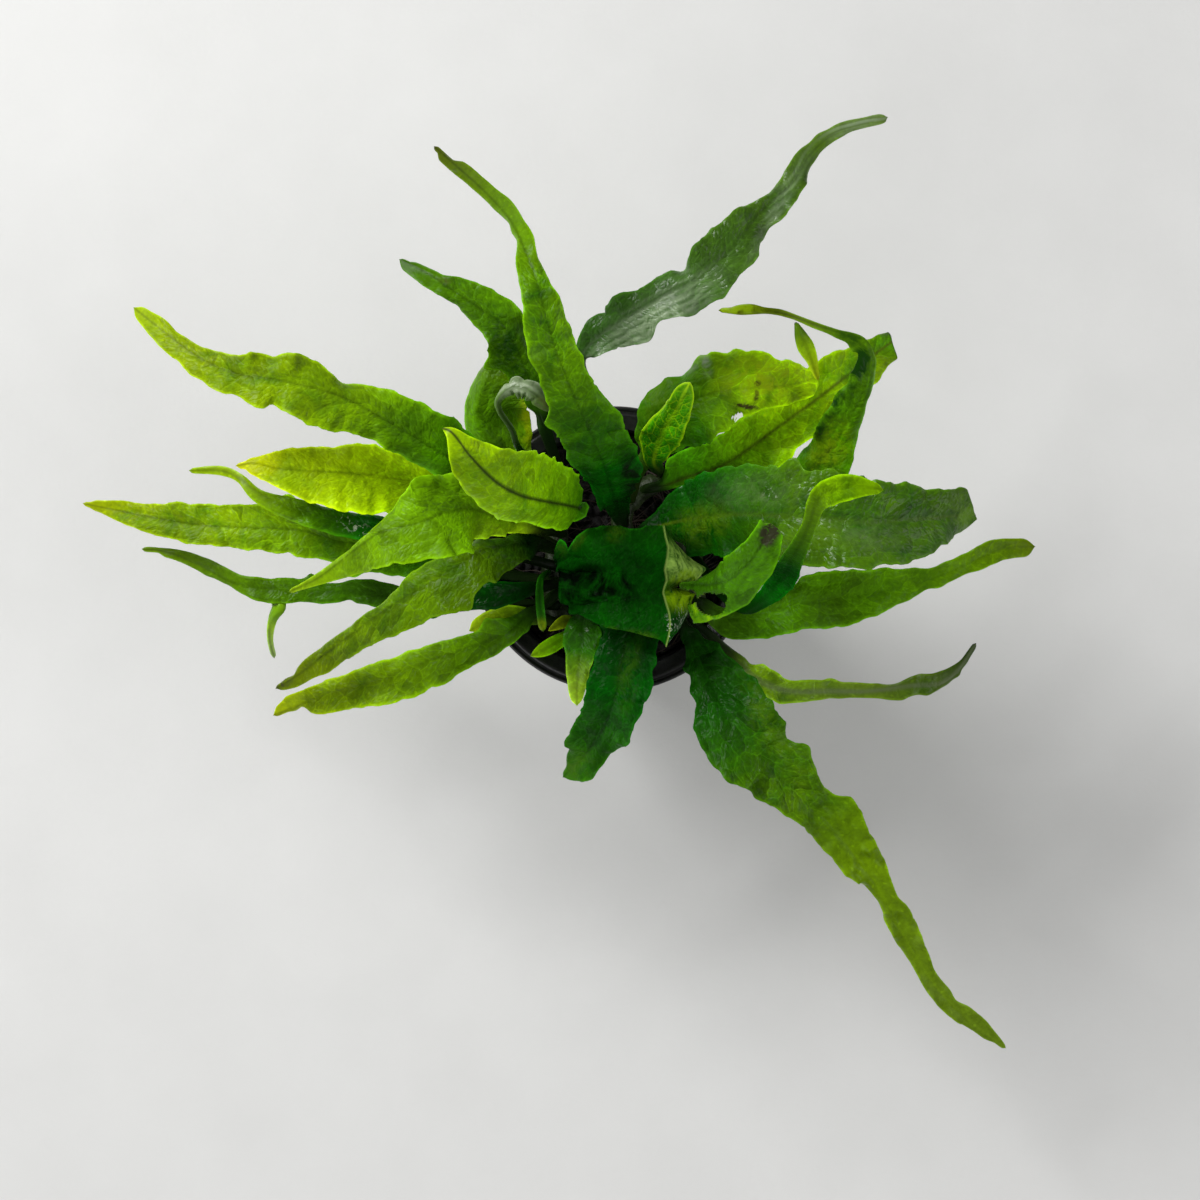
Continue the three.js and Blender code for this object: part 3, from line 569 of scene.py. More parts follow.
leaves = [
    dict(
        node="leaf_upper_left", slot="leaf_fresh", trough=0.15, ruffle=(0.9, 17), veinTone=1.25,
        relief=0.8, tipFrom=0.82, low=(0.058, 0.37, 0.0005), mid=(0.126, 0.252, 0.00045),
        tip=(0.2, 0.29, 0.0008), deep=(0.034, 0.11, 0.0005),
        midrib=((-11, 5.5, 1, 0.9, 0.9), (-18.5, 10, 16, 1.2, 1.2), (-26, 15, 27, 4.2, 4.6),
            (-32.5, 18, 33, 4, 6.2), (-40, 22.5, 37, 4.6, 5.8), (-51, 28.5, 40, 6.6, 3),
            (-62.5, 31.5, 41, 4.7, 4.8), (-69.5, 32.5, 40, 4.2, 3.6), (-77, 35.5, 38, 3, 2.1),
            (-84.5, 41, 34, 2.2, 1.4), (-89.5, 45, 30, 0.3, 0.3)),
        left=(2.1, 0.9, 0.9, 0.9, 1.2, 1.8, 2.7, 3.6, 4.2, 4.4, 4.2, 4.1, 4, 4.1, 4.2, 4.3, 4.6, 4.5, 5,
            6, 6.9, 7, 6.5, 5.7, 4.7, 5.8, 5.6, 4.6, 4.1, 4.3, 4.1, 3.7, 3.5, 2.9, 2.8, 2.7, 2.3, 1.9,
            1.6, 1.2, 0.3),
        right=(0.9, 0.9, 0.9, 0.9, 1.2, 1.9, 2.8, 3.8, 4.6, 5.2, 5.6, 6, 7.2, 6.7, 6.4, 6.3, 6, 5.7, 5,
            3.9, 2.6, 3.7, 5.2, 5.5, 5.1, 4.3, 4.5, 4.6, 4.1, 3.2, 3, 2.8, 2.3, 1.9, 1.7, 1.5, 1.9, 1.8,
            1.5, 1.2, 0.3),
    ),
    dict(
        node="leaf_left_yellow", slot="leaf_yellow", trough=0.15, ruffle=(0.8, 15), veinTone=1.18,
        patchTone=(1.1, 0.82), relief=0.65, mid=(0.51, 0.86, 0.0005), tip=(0.34, 0.36, 0.0005),
        low=(0.22, 0.49, 0.0005), deep=(0.2, 0.36, 0.0005),
        midrib=((-11.5, 1, 1, 0.9, 0.9), (-23, 7.5, 12, 1.2, 1.2), (-32.5, 11.5, 19, 3.2, 3.6),
            (-40, 13, 22, 6.2, 5), (-47.5, 14, 24, 7.4, 5.5), (-55, 14.5, 25, 6.2, 4.7),
            (-62.5, 15, 25, 3.8, 3.1), (-67, 16, 24, 2.1, 0.9), (-70.5, 15.5, 23, 0.3, 0.3)),
        left=(0.9, 0.9, 0.9, 1, 1.2, 1.6, 2, 2.6, 3.2, 3.9, 4.8, 5.6, 6.2, 6.7, 7.1, 7.3, 7.4, 7.3, 7,
            6.6, 6.2, 5.7, 5, 4.2, 3.3, 2.9, 2.8, 2.5, 2.3, 1.9, 1, 0.8, 0.3),
        right=(0.9, 0.9, 0.9, 1, 1.2, 1.7, 2.3, 3, 3.6, 4, 4.4, 4.7, 5, 5.2, 5.4, 5.9, 5.8, 5.4, 5, 4.8,
            4.6, 4.5, 4.3, 3.9, 3.4, 3, 2.4, 1.7, 1.2, 1, 0.5, 0.4, 0.3),
    ),
    dict(
        node="leaf_arched_top", slot="leaf_fresh", trough=0.1, ruffle=(0.7, 14), rib=(0.02, 0.035, 0.004),
        ribShow=0.95, veinTone=1.3, low=(0.0084, 0.17, 0.0005), mid=(0.22, 0.5, 0.0005),
        tip=(0.21, 0.34, 0.0005), deep=(0.034, 0.15, 0.0005),
        midrib=((-9.5, 7.5, 1, 0.9, 0.9), (-6.5, 7.5, 18, 1.4, 2.2), (-8, 8, 30, 4.6, 6),
            (-13.5, 9, 45, 4.4, 8.2), (-17.5, 10, 53, 5.4, 8.7), (-22, 12.5, 60, 5.2, 7.8),
            (-26.5, 17, 65, 4.5, 3.9), (-30, 21.5, 66, 1.6, 1.2), (-32, 22.5, 65, 0.3, 0.3)),
    ),
    dict(
        node="leaf_left_broad", slot="leaf_fresh", trough=0.15, ruffle=(1.0, 16), veinTone=1.3,
        relief=0.65, low=(0.55, 0.9, 0.0057), mid=(0.12, 0.29, 0.0005), tip=(0.126, 0.21, 0.00075),
        deep=(0.048, 0.12, 0.0005),
        midrib=((-10, 3, 1, 0.9, 0.9), (-16.5, 4.5, 18, 1.6, 1.6), (-22, 6, 32, 4.2, 5.5),
            (-27, 7.5, 40, 7.7, 6.6), (-32.5, 6.5, 44, 8.5, 7.5), (-36, 5, 45, 7.4, 7.3),
            (-43.5, 3, 44, 6.3, 2.2), (-49, -0.7, 40, 4.4, 0.9), (-55, -5.3, 34, 1.4, 0.9),
            (-60.5, -8, 28, 0.3, 0.3)),
    ),
    dict(
        node="leaf_left_slim", slot="leaf_dark", trough=0.1, ruffle=(0.4, 12), dents=0.9, relief=1.6,
        glint=((-48.3, 4.4, 3.2, 1.2, -25, 1),), gloss=0.16, tipFrom=0.87, mid=(0.00675, 0.126, 0.00045),
        tip=(0.15, 0.24, 0.0005), low=(0.0023, 0.083, 0.0005), deep=(0.0032, 0.034, 0.0005),
        midrib=((-11.5, -3, 1, 0.9, 0.9), (-23, 0, 8, 1.2, 1.2), (-32.5, 1.5, 13, 2, 2),
            (-42, 3.5, 16, 2.6, 2.4), (-51, 5.6, 18, 3.2, 1.6), (-59.6, 7.2, 18.5, 2.1, 2.3),
            (-66, 10.3, 18, 1.8, 0.8), (-69.7, 13.1, 17, 0.8, 0.9), (-73.3, 14.6, 15, 0.9, 0.9),
            (-79.2, 14.6, 13, 0.5, 0.5)),
    ),
    dict(
        node="leaf_left_straight", slot="leaf_fresh", trough=0.12, ruffle=(0.7, 14),
        shade=((-47.5, 0.4, 8, 2, -8, 0.12),), low=(0.0036, 0.15, 0.0005), mid=(0.15, 0.3, 0.0005),
        tip=(0.2, 0.25, 0.0005), deep=(0.024, 0.12, 0.0005),
        midrib=((-11.5, -6, 1, 0.9, 0.9), (-21, -4.5, 3, 1.2, 1.2), (-32.5, -2, 6, 3.7, 2.8),
            (-40, -0.5, 8, 4.6, 3.9), (-51, 1.5, 9, 4.4, 4.5), (-58.5, 3.5, 9, 4.9, 4.5),
            (-68, 4, 8, 4, 4.3), (-77, 4.5, 6, 3.9, 3.6), (-86.5, 6, 3, 3, 2.3),
            (-94, 7.5, 0, 1.2, 1), (-99, 8.5, -1, 0.3, 0.3)),
        left=(0.9, 0.9, 0.9, 1, 1.2, 2.9, 2.4, 3.1, 3.7, 4.1, 4.3, 4.5, 4.6, 4.6, 5, 6.3, 4.4, 4.1, 4.7,
            4.9, 4.9, 4.5, 4.6, 4.2, 4.2, 4, 3.8, 3.6, 3.8, 3.7, 3.4, 3.2, 3.1, 2.5, 2.3, 1.9, 1.5, 1.1,
            0.9, 0.5, 0.3),
        right=(0.9, 0.9, 1, 1, 1.2, 1.5, 2, 2.4, 2.8, 3.1, 3.4, 3.7, 3.9, 4.1, 4.3, 4.4, 4.5, 4.5, 4.6,
            4.5, 4.5, 6.3, 5.9, 4.4, 4.4, 4.2, 4, 4.1, 3.9, 3.7, 3.6, 3, 2.5, 2.2, 2.1, 1.9, 1.6, 1.3,
            1.1, 0.5, 0.3),
    ),
    dict(
        node="leaf_left_low", slot="leaf_mid", trough=0.1, ruffle=(0.5, 12), mid=(0.037, 0.12, 0.0005),
        tip=(0.087, 0.16, 0.0005), low=(0.0063, 0.043, 0.0005), deep=(0.015, 0.049, 0.0005),
        midrib=((-11.5, -10.5, 1, 0.9, 0.9), (-25, -10.5, 2.6, 1.2, 1.2), (-36, -10, 3, 2, 2),
            (-44, -8.5, 3.4, 2.4, 2.5), (-51, -8, 3, 1.6, 1.7), (-58, -8, 2.5, 2, 2),
            (-65.5, -7.5, 2, 2.5, 1.5), (-71.5, -6, 1, 1.5, 1.2), (-77, -3, -1, 1.2, 1.6),
            (-83.5, -0.5, -3, 0.6, 0.8), (-88, 0, -4, 0.3, 0.3)),
        left=(0.9, 0.7, 1, 1.1, 0.8, 1.2, 1.5, 2.7, 2, 2.2, 2.3, 2.4, 2.4, 2.1, 2.1, 1.4, 1.9, 2.2, 2.2,
            2, 1.9, 2.1, 2.3, 2.5, 2.3, 2.1, 1.7, 1.3, 0.9, 0.9, 1, 1.3, 1.2, 1.1, 1, 1, 1, 0.5, 0.4,
            0.4, 0.3),
        right=(0.9, 1, 1.3, 1.1, 1.6, 1.4, 1.6, 1.8, 2, 2.2, 2.4, 2.5, 2.5, 2.7, 2.6, 2.3, 1.7, 1.7, 1.8,
            3.4, 2.6, 2.5, 2.5, 2.3, 2.1, 2.1, 1.9, 1.8, 1.9, 2, 1.9, 1.8, 1.6, 1.5, 1.3, 1, 0.7, 0.5,
            0.5, 0.4, 0.3),
    ),
    dict(
        node="leaf_lower_left", slot="leaf_fresh", trough=0.15, ruffle=(0.9, 18),
        brown=((-62, -25.3, 2.4, 1.3, 40, 1.3),), brownColour=(0.04, 0.05, 0.012), tipFrom=0.9,
        low=(0.00061, 0.01275, 0.00038), mid=(0.096, 0.2, 0.0005), tip=(0.078, 0.115, 0.0005),
        deep=(0.015, 0.065, 0.0005),
        midrib=((-9.5, -1, 1, 0.9, 0.9), (-14.5, 1, 12, 1.5, 1.5), (-20.5, 0.5, 20, 4.5, 2.9),
            (-25, -0.5, 23, 5.8, 2.3), (-29.5, -3.5, 24, 6.4, 3.2), (-36, -7.5, 23, 6.5, 3.7),
            (-43.5, -12, 20, 5, 1.5), (-51, -17.5, 14, 3.2, 1.3), (-58.5, -23.2, 7, 2, 1),
            (-63, -26, 3, 0.3, 0.3)),
        left=(0.9, 0.8, 1, 1.2, 1.5, 3.1, 3.1, 3.8, 4.5, 5.3, 6.1, 6.3, 6.4, 6.4, 5.8, 5.7, 6.4, 8.4,
            7.3, 6.4, 6, 5.6, 5.6, 5.3, 4.8, 4.3, 3.8, 3.6, 3.3, 3.1, 3, 2.2, 2, 1.8, 1.4, 1, 0.3),
        right=(1.1, 1.4, 1.2, 1.3, 1.5, 1.8, 2.3, 1.6, 1.8, 1.9, 2.6, 2.4, 2.3, 2.4, 2.7, 3, 3.2, 3.4,
            3.6, 3.8, 3.7, 3.3, 2.6, 2, 1.5, 1.6, 1.6, 1.4, 1.6, 1.6, 1.6, 1.6, 1.2, 0.5, 0.7, 0.5, 0.3),
    ),
    dict(
        node="leaf_lowest_left", slot="leaf_fresh", trough=0.15, ruffle=(0.8, 14),
        low=(0.046, 0.17, 0.0005), mid=(0.16, 0.32, 0.0005), tip=(0.19, 0.24, 0.0005),
        deep=(0.057, 0.14, 0.0005),
        midrib=((-10.5, -8.2, 1, 0.9, 0.9), (-17.5, -13.5, 6, 1.6, 1.6), (-21, -16, 7, 2.9, 3.3),
            (-28.5, -19, 8, 4.1, 2.2), (-36, -21.5, 7, 5, 2.9), (-43.5, -24.5, 5, 4.6, 3.2),
            (-51, -26.5, 2, 3.7, 2.5), (-58.5, -29, -1, 1, 1.6), (-63.5, -31, -3, 0.3, 0.3)),
        left=(0.9, 1.1, 1.2, 1.4, 2.3, 2.2, 2.3, 2.5, 2.6, 2.9, 3.2, 3.3, 3.5, 4.1, 4.9, 4.8, 4.9, 5.2,
            5.1, 4.9, 4.6, 4.3, 4, 3.7, 3.8, 3.3, 3.2, 2.3, 0.6, 0.8, 0.5, 0.4, 0.3),
        right=(0.9, 1.1, 0.7, 1.4, 1.6, 2, 2.6, 3, 3.3, 3.9, 2.6, 2.5, 2.7, 2.9, 2.9, 3, 3, 3.2, 3.1,
            3.3, 3.5, 3.5, 3.1, 2.9, 2.7, 2.8, 2.6, 2.4, 2.4, 2.4, 1.8, 1.3, 0.3),
    ),
    dict(
        node="leaf_young_yellow", slot="leaf_yellow", trough=0.1, mid=(0.13, 0.27, 0.0027),
        low=(0.049, 0.16, 0.0014), tip=(0.31, 0.45, 0.0041), deep=(0.055, 0.11, 0.0011),
        midrib=((-11, -13.5, 1, 0.8, 0.8), (-16, -12.6, 3.2, 1.6, 1.6), (-20.5, -12.8, 3.6, 2.3, 2.3),
            (-25, -14.2, 3.2, 1.6, 1.6), (-27, -15.3, 3, 0.3, 0.3)),
    ),
    dict(
        node="leaf_under_lower_left", slot="leaf_dark", trough=0.1, tip=(0.0015, 0.042, 0.0005),
        low=(0.0008, 0.011, 0.0005), mid=(0.0008, 0.029, 0.0005), deep=(0.0008, 0.011, 0.0005),
        midrib=((-9.8, -6.3, 1, 0.8, 0.8), (-16, -7.5, 8, 1.4, 1.4), (-22, -8.5, 11, 2.6, 2.4),
            (-27, -9.6, 11, 1.8, 2), (-31, -11.2, 10, 0.3, 0.3)),
    ),
    dict(
        node="leaf_top_left", slot="leaf_mid", trough=0.15, brown=((-31.5, 50, 1.1, 0.6, -20, 0.7),),
        shade=((-19.6, 37.6, 7.5, 3.4, 108, 1),), shadeColour=(0.003, 0.035, 0.0005),
        mid=(0.074, 0.2, 0.00069), tip=(0.03, 0.085, 0.0008), low=(0.017, 0.1, 0.0005),
        deep=(0.015, 0.062, 0.0005),
        midrib=((-10, 13.5, 1, 0.9, 0.9), (-13, 23, 12, 1.3, 1.3), (-15.5, 30.5, 20, 2.5, 2.5),
            (-18, 37, 25, 5, 3.1), (-21, 42, 28, 3.7, 4.1), (-26, 45.5, 29, 2.2, 4),
            (-30.5, 48.5, 29, 1.9, 2), (-35, 51.5, 28, 2.1, 0.9), (-40, 54, 26, 0.3, 0.3)),
        left=(0.9, 1, 1, 1.1, 1.3, 0.9, 1.8, 2.1, 2.5, 3.1, 3.9, 4.6, 7, 5.6, 5.1, 4.4, 4.2, 3.9, 3.4, 3,
            2.6, 2.3, 1.8, 1.9, 2.1, 2.3, 2.3, 2.4, 2.3, 2.1, 1.8, 1.4, 0.3),
        right=(0.9, 1, 1.1, 1.1, 1.3, 1.6, 1.9, 2.2, 2.5, 2.7, 2.8, 2.9, 3.1, 3.3, 3.6, 3.9, 4.3, 4.4,
            4.3, 4.2, 4, 3.8, 3.6, 3.1, 2.6, 2, 1.4, 1.3, 1.1, 1, 0.9, 0.4, 0.3),
    ),
    dict(
        node="leaf_top_left_lower", slot="leaf_fresh", trough=0.1, ruffle=(0.6, 12),
        bumps=((-19, 25, 4, -2),),
        right=(0.9, 1.6, 6.4, 8.1, 8.3, 8.4, 8.5, 8.6, 8.5, 8, 5, 2.7, 2.7),
        left=(0.9, 1.1, 2.4, 4.3, 3.6, 3.2, 3, 2.6, 2.3, 2.1, 1.9, 1.9, 1.5),
        bright=((-15.9, 23.7, 1.7, 3.8, 0, 1.4),), brightColour=(0.42, 0.54, 0.003),
        low=(0.11, 0.26, 0.0005), mid=(0.073, 0.21, 0.0005), tip=(0.046, 0.077, 0.0005),
        deep=(0.031, 0.089, 0.0005),
        midrib=((-13.2, 13.2, 1, 0.9, 0.9), (-19.5, 18.5, 7, 1.5, 1.5), (-24, 23, 11, 3.3, 3),
            (-24.5, 28, 13, 2.4, 3), (-23, 32.5, 14, 1.6, 3), (-21, 36, 14, 1.5, 2),
            (-20, 39, 13, 0.3, 0.3)),
    ),
    dict(
        node="leaf_hooked_small", slot="leaf_pale", trough=-0.5, fineness=0.45, ruffle=(0.5, 3.5),
        uneven=0.12, greenFrom=0.45, tipFrom=0.8, foot=(0.004, 0.03, 0.001),
        stalkColour=(0.006, 0.045, 0.001), underColour=(0.02, 0.06, 0.004), streaks=True,
        grey=((-18, 31, 5, 2.6, 0, 1),), brown=((-12.6, 26.8, 2.2, 1.5, -35, 0.9),),
        brownColour=(0.09, 0.1, 0.03),
        nicks=((-19.2, 29.9, -1, 0.5, 0.3), (-17.6, 30.1, -1, 0.35, 0.3),
            (-16.2, 29.7, -1, 0.45, 0.3), (-14.4, 28.5, -1, 0.3, 0.3), (-19.4, 29.9, 1, 0.35, 0.3),
            (-17.6, 30.1, 1, 0.2, 0.4)), endCut=((-1, 1), (-0.5, 0), (0, 1.1), (0.4, 0.2), (1, 1.2)),
        greyColour=(0.3, 0.36, 0.24), tip=(0.052, 0.099, 0.017), low=(0.0026, 0.024, 0.0005),
        mid=(0.0052, 0.031, 0.00059), deep=(0.0033, 0.019, 0.0005),
        midrib=((-11.5, 10.8, 1, 0.8, 0.8), (-14.2, 15.5, 18, 0.7, 0.7), (-17.7, 18.8, 30, 0.6, 0.6),
            (-19.1, 22.3, 36, 0.55, 0.55), (-21.2, 25.5, 40, 0.55, 0.55), (-21.7, 27.2, 41, 0.6, 0.7),
            (-21.1, 28.4, 42, 0.8, 0.8), (-19.9, 29.6, 43, 1.3, 1.3), (-18.5, 30.1, 43.5, 2.2, 1.9),
            (-16.8, 29.9, 44, 2, 2), (-15.1, 29.1, 44, 2.1, 1.9), (-13.6, 27.8, 43.5, 1.4, 1.6),
            (-12.5, 26.8, 43, 1.1, 1.2), (-11.2, 26.1, 42, 0.7, 0.9)),
    ),
    dict(
        node="leaf_tall_back", slot="leaf_mid", trough=0.15, ruffle=(0.9, 17), greenFrom=0.28,
        veinTone=1.5, shade=((3.6, 13.2, 6, 2.4, 103, 1.3),), patchTone=(1.2, 0.7),
        foot=(0.0008, 0.0011, 0.0005), low=(0.0013, 0.097, 0.0005), mid=(0.1, 0.25, 0.0005),
        tip=(0.03528, 0.04608, 0.00036), deep=(0.0057, 0.06, 0.0005),
        midrib=((1.8, 4.5, 1, 0.9, 0.9), (0.5, 8, 14, 2.2, 2.5), (-1.5, 14.5, 30, 4.6, 6.6),
            (-4.5, 22, 43, 5.5, 5.8), (-7.5, 28.5, 51, 5.3, 4.2), (-9.5, 33.5, 55, 4.8, 4.3),
            (-11.5, 39, 58, 5.1, 3.7), (-13, 44.5, 59, 4.1, 3.3), (-14.5, 50, 59, 2.9, 2.4),
            (-16.5, 55.5, 57, 1.7, 1.8), (-19.5, 61.5, 52, 0.8, 1.4), (-24.5, 67, 46, 1.1, 0.8),
            (-29.5, 71.5, 41, 1.2, 0.6), (-33.5, 75, 36, 0.3, 0.3)),
        left=(0.9, 1.2, 1.5, 1.8, 2.2, 3.3, 3.4, 4.1, 4.6, 5, 5.8, 5.6, 5.7, 5.9, 6, 7.3, 5.3, 5.2, 5,
            4.9, 4.8, 4.8, 5, 5.1, 5.1, 4.9, 4.7, 4.4, 4.1, 3.8, 3.6, 3.3, 3.2, 3.1, 2.9, 2.4, 1.9, 1.2,
            0.7, 0.9, 0.5, 0.7, 1, 1, 1.1, 1.2, 1.2, 1.3, 1.4, 1.4, 1.3, 0.5, 0.3),
        right=(0.9, 1.2, 1.5, 1.9, 2.5, 3.5, 4.7, 5.9, 6.6, 6.8, 6.6, 6.2, 6.3, 6.4, 5.1, 4.7, 4.5, 4.4,
            4.2, 4.1, 4.3, 4.2, 4, 4.1, 4, 3.9, 3.7, 3.6, 3.6, 3.4, 3.1, 2.6, 2.3, 2.1, 1.9, 1.8, 2.1,
            2.5, 2.5, 2.2, 2.3, 2.4, 2.2, 1.9, 1.8, 1.7, 1.7, 1.6, 1.2, 0.5, 0.5, 0.4, 0.3),
    ),
    dict(
        node="leaf_wavy_grey", slot="leaf_grey", trough=0.1, ruffle=(1.5, 15), streaks=True, dents=0.2,
        relief=0.3,
        left=(0.9, 0.6, 1.0, 1.1, 1.2, 1.3, 1.4, 1.5, 1.6, 1.6, 1.5, 1.5, 1.6, 1.9, 2.7, 3.3, 3.7, 3.4,
            3.0, 4.2, 4.5, 4.9, 4.4, 3.7, 3.7, 4.1, 3.7, 2.5, 4.1, 5.0, 5.2, 5.4, 5.4, 5.0, 4.5, 3.8,
            2.8, 1.9, 1.6, 2.0, 2.2, 2.4, 2.4, 2.2, 1.9, 1.6, 1.7, 1.3, 1.3, 1.2, 1, 1, 0.9),
        right=(0.9, 1.0, 1.0, 1.5, 1.2, 1.3, 1.4, 1.5, 3.2, 2.5, 1.7, 1.0, 0.9, 2.0, 2.7, 3.1, 3.6, 3.9,
            3.9, 4.4, 4.5, 5.3, 5.7, 3.6, 4.1, 5.0, 5.7, 5.6, 5.6, 5.9, 5.3, 4.6, 4.5, 5.1, 3.7, 3.6,
            3.4, 3.8, 3.5, 2.9, 2.4, 2.4, 1.7, 1.5, 1.5, 1.2, 1.2, 1.3, 1.3, 1, 1, 1, 1),
        greyColour=(0.25, 0.33, 0.19),
        grey=((5.8, 40.2, 14.5, 4.3, 39, 1), (31, 64.5, 12, 1.3, 62, 0.4), (46, 79.4, 8, 1.4, 18, 0.7)),
        low=(0.014, 0.063, 0.0039), mid=(0.025, 0.075, 0.0042), tip=(0.064, 0.12, 0.005),
        deep=(0.013, 0.046, 0.0021),
        midrib=((1.2, 8.4, 1, 0.9, 0.9), (-2, 18.5, 12, 1.2, 1.2), (-5.5, 28, 22, 1.6, 1.6),
            (-6, 35.5, 29, 1.6, 1.6), (-2.5, 40, 32, 3.1, 3.5), (1, 42, 34, 4.2, 4),
            (8.5, 46.5, 37, 3.6, 3.7), (16, 51, 38, 3.8, 5.8), (21.5, 55.5, 38, 5.1, 4.6),
            (27, 62.5, 36, 2.6, 3.6), (33, 68, 34, 1.8, 2.5), (36.5, 73.5, 31, 1.7, 1.3),
            (42, 78, 28, 0.8, 0.8), (51, 80.5, 24, 0.3, 0.3)),
    ),
    dict(
        node="leaf_hooked_long", slot="leaf_mid", trough=0.1, ruffle=(0.8, 13),
        left=(0.9, 1.4, 2.5, 3.3, 3.9, 3.4, 3.7, 3.8, 4, 4.5, 4.4, 4.3, 4.2, 3.4, 3.3, 2.8, 2.4, 2, 1.6,
            2.1, 1.3, 1.2, 0.86, 0.78, 0.52, 0.4, 0.5, 0.72, 0.88, 0.62, 0.3),
        right=(0.9, 1.3, 2, 3.5, 4.7, 5.3, 5.6, 5.9, 5.1, 3.6, 2.9, 2.3, 1.7, 1.6, 1.5, 1.4, 1.4, 1.2,
            1.3, 1.4, 1, 0.58, 0.5, 0.5, 0.5, 0.7, 0.68, 1.2, 1, 0.46, 0.3),
        bright=((40, 19, 5, 3.6, 60, 0.6), (23.6, 44.6, 5, 1.6, 0, 1.3)),
        brightColour=(0.24, 0.38, 0.003), shadeColour=(0.006, 0.036, 0.001),
        shade=((45.2, 33.5, 6.5, 2, 66, 1.6), (41.2, 27, 4.4, 1.5, 55, 1.3),
            (37.5, 21.5, 5, 1.7, 54, 1), (44.5, 39.3, 5.5, 2.2, -18, 0.8)), low=(0.007, 0.08, 0.0005),
        mid=(0.062, 0.19, 0.0005), tip=(0.072, 0.074, 0.00084), deep=(0.017, 0.079, 0.0005),
        midrib=((14, 4, 1, 0.9, 0.9), (25.5, 8, 10, 2, 2), (34.5, 13, 18, 3.3, 4.4),
            (39.5, 17.5, 23, 4.3, 5), (43, 23, 27, 3.2, 3), (46, 28.5, 30, 2.4, 2),
            (47.5, 33.5, 31.5, 1.8, 1.7), (47, 37, 32, 2.2, 0.8), (44, 39.5, 32, 1.8, 0.6),
            (38.5, 41.5, 31, 0.8, 0.5), (31, 44, 29, 0.6, 0.7), (24.5, 44.5, 27, 1, 0.7),
            (19.5, 44.5, 25, 0.3, 0.3)),
    ),
    dict(
        node="leaf_brown_rib", slot="leaf_fresh", trough=0.12, ruffle=(0.5, 12), rib=(0.09, 0.09, 0.008),
        left=(0.9, 1, 1.3, 2.6, 4, 4.8, 5.1, 5.1, 5.1, 5.4, 5.5, 5.3, 5.1, 5.1, 5.2, 5.4, 5.5, 5.6, 5,
            4.3, 3.6, 3.1, 2.7, 2.3, 1.9),
        endCut=((-1, 2.9), (0, 1), (1, 0)), ribShow=0.6,
        right=(0.9, 0.92, 0.95, 1, 1.2, 1.4, 1.9, 3.6, 5.1, 6.1, 6.3, 5.2, 5.4, 6.2, 6.3, 6.2, 5.8, 5.4,
            4.8, 4.4, 4.1, 3.3, 3.1, 3, 3),
        shade=((45.5, 34, 4.2, 2.6, 40, 0.7),), shadeColour=(0.03, 0.11, 0.002),
        foot=(0.011, 0.058, 0.0005), low=(0.14, 0.61, 0.0042), mid=(0.48, 0.86, 0.0005),
        tip=(0.013, 0.028, 0.0005), deep=(0.09, 0.32, 0.0005),
        midrib=((6, 11.2, 1, 0.9, 0.9), (10, 12, 3.5, 1, 1), (14, 13.6, 6, 2.4, 1.5),
            (21, 16, 9, 5, 2.6), (31, 23, 12, 4.1, 4.4), (36.5, 27, 13.5, 4.5, 4),
            (40.5, 30, 14, 3.5, 5.5), (45, 33.5, 13, 3.7, 4.5), (49.4, 36.9, 10.5, 3.2, 3.2),
            (52.6, 39.2, 8, 2.2, 3.2)),
    ),
    dict(
        node="leaf_broad_worn", slot="leaf_yellow", trough=0.1, ruffle=(0.7, 13),
        brownColour=(0.03, 0.025, 0.005),
        grey=((17, 35, 0.9, 2.4, 20, 0.9), (14.4, 33.5, 2, 0.8, 30, 0.5)),
        holes=((23, 24.8, 1.3, 0.5, 20),), endCut=((-1, 2), (-0.5, 0.3), (0.1, 0), (0.6, 0.6), (1, 2.2)),
        bright=((28.5, 31.5, 9, 4.4, -5, 1),), brightColour=(0.27, 0.39, 0.003), veinTone=1.5,
        brown=((24.7, 26.6, 2, 0.34, -8, 3), (26.5, 28.5, 1.3, 0.32, 80, 3),
            (26.8, 30.9, 0.6, 0.5, 0, 3)),
        # shade here lightens, with a light shadeColour: painted light on the parts that lie in the shadow of
        # the leaves above
        shade=((8.6, 28, 6.5, 3.4, 52, 0.9), (14, 25, 5, 2.4, 30, 0.7)), shadeColour=(0.085, 0.21, 0.002),
        mid=(0.027, 0.135, 0.00045), tip=(0.528, 0.948, 0.0006), low=(0.035, 0.12461, 0.0005),
        deep=(0.01674, 0.0837, 0.00028),
        midrib=((3.2, 9.6, 1, 0.9, 0.9), (5, 15.5, 8, 1.6, 1.6), (8.5, 23, 15, 4.6, 6.6),
            (14, 27.5, 19, 5.5, 9.1), (20, 29.5, 21, 6.9, 8.5), (25.5, 30, 22, 6.6, 5),
            (32, 30.5, 21, 4, 3.6), (38, 32, 19, 2.4, 3)),
        left=(0.9, 1, 1.1, 1.3, 1.6, 1.1, 3.1, 3.9, 5.1, 5.9, 5.9, 5.8, 5.1, 5.7, 6.8, 7.3, 7.6, 6.8,
            7.2, 7.2, 7.1, 6.8, 6.3, 5.3, 4.7, 4.5, 3.6, 2.8, 2.4),
        right=(0.9, 1, 1, 1.1, 1.6, 2.6, 3.9, 5.3, 6.4, 7.2, 7.9, 8.4, 8.6, 8.6, 8.2, 7.8, 7.3, 6.7, 4.6,
            5.3, 4.7, 4.3, 4, 3.8, 3.6, 3.4, 3.3, 3.1, 3),
    ),
    dict(
        node="leaf_young_veined", slot="leaf_fresh", trough=0.1, ruffle=(0.3, 10), cell=(2.3, 1.9),
        stray=0.6, greenFrom=0.3, inked=True, ribShow=0.85, ribTone=1, edgeTone=1, veinTone=1,
        rib=(0.42, 0.72, 0.004), ribWidth=0.85, low=(0.00091, 0.08892, 0.00057),
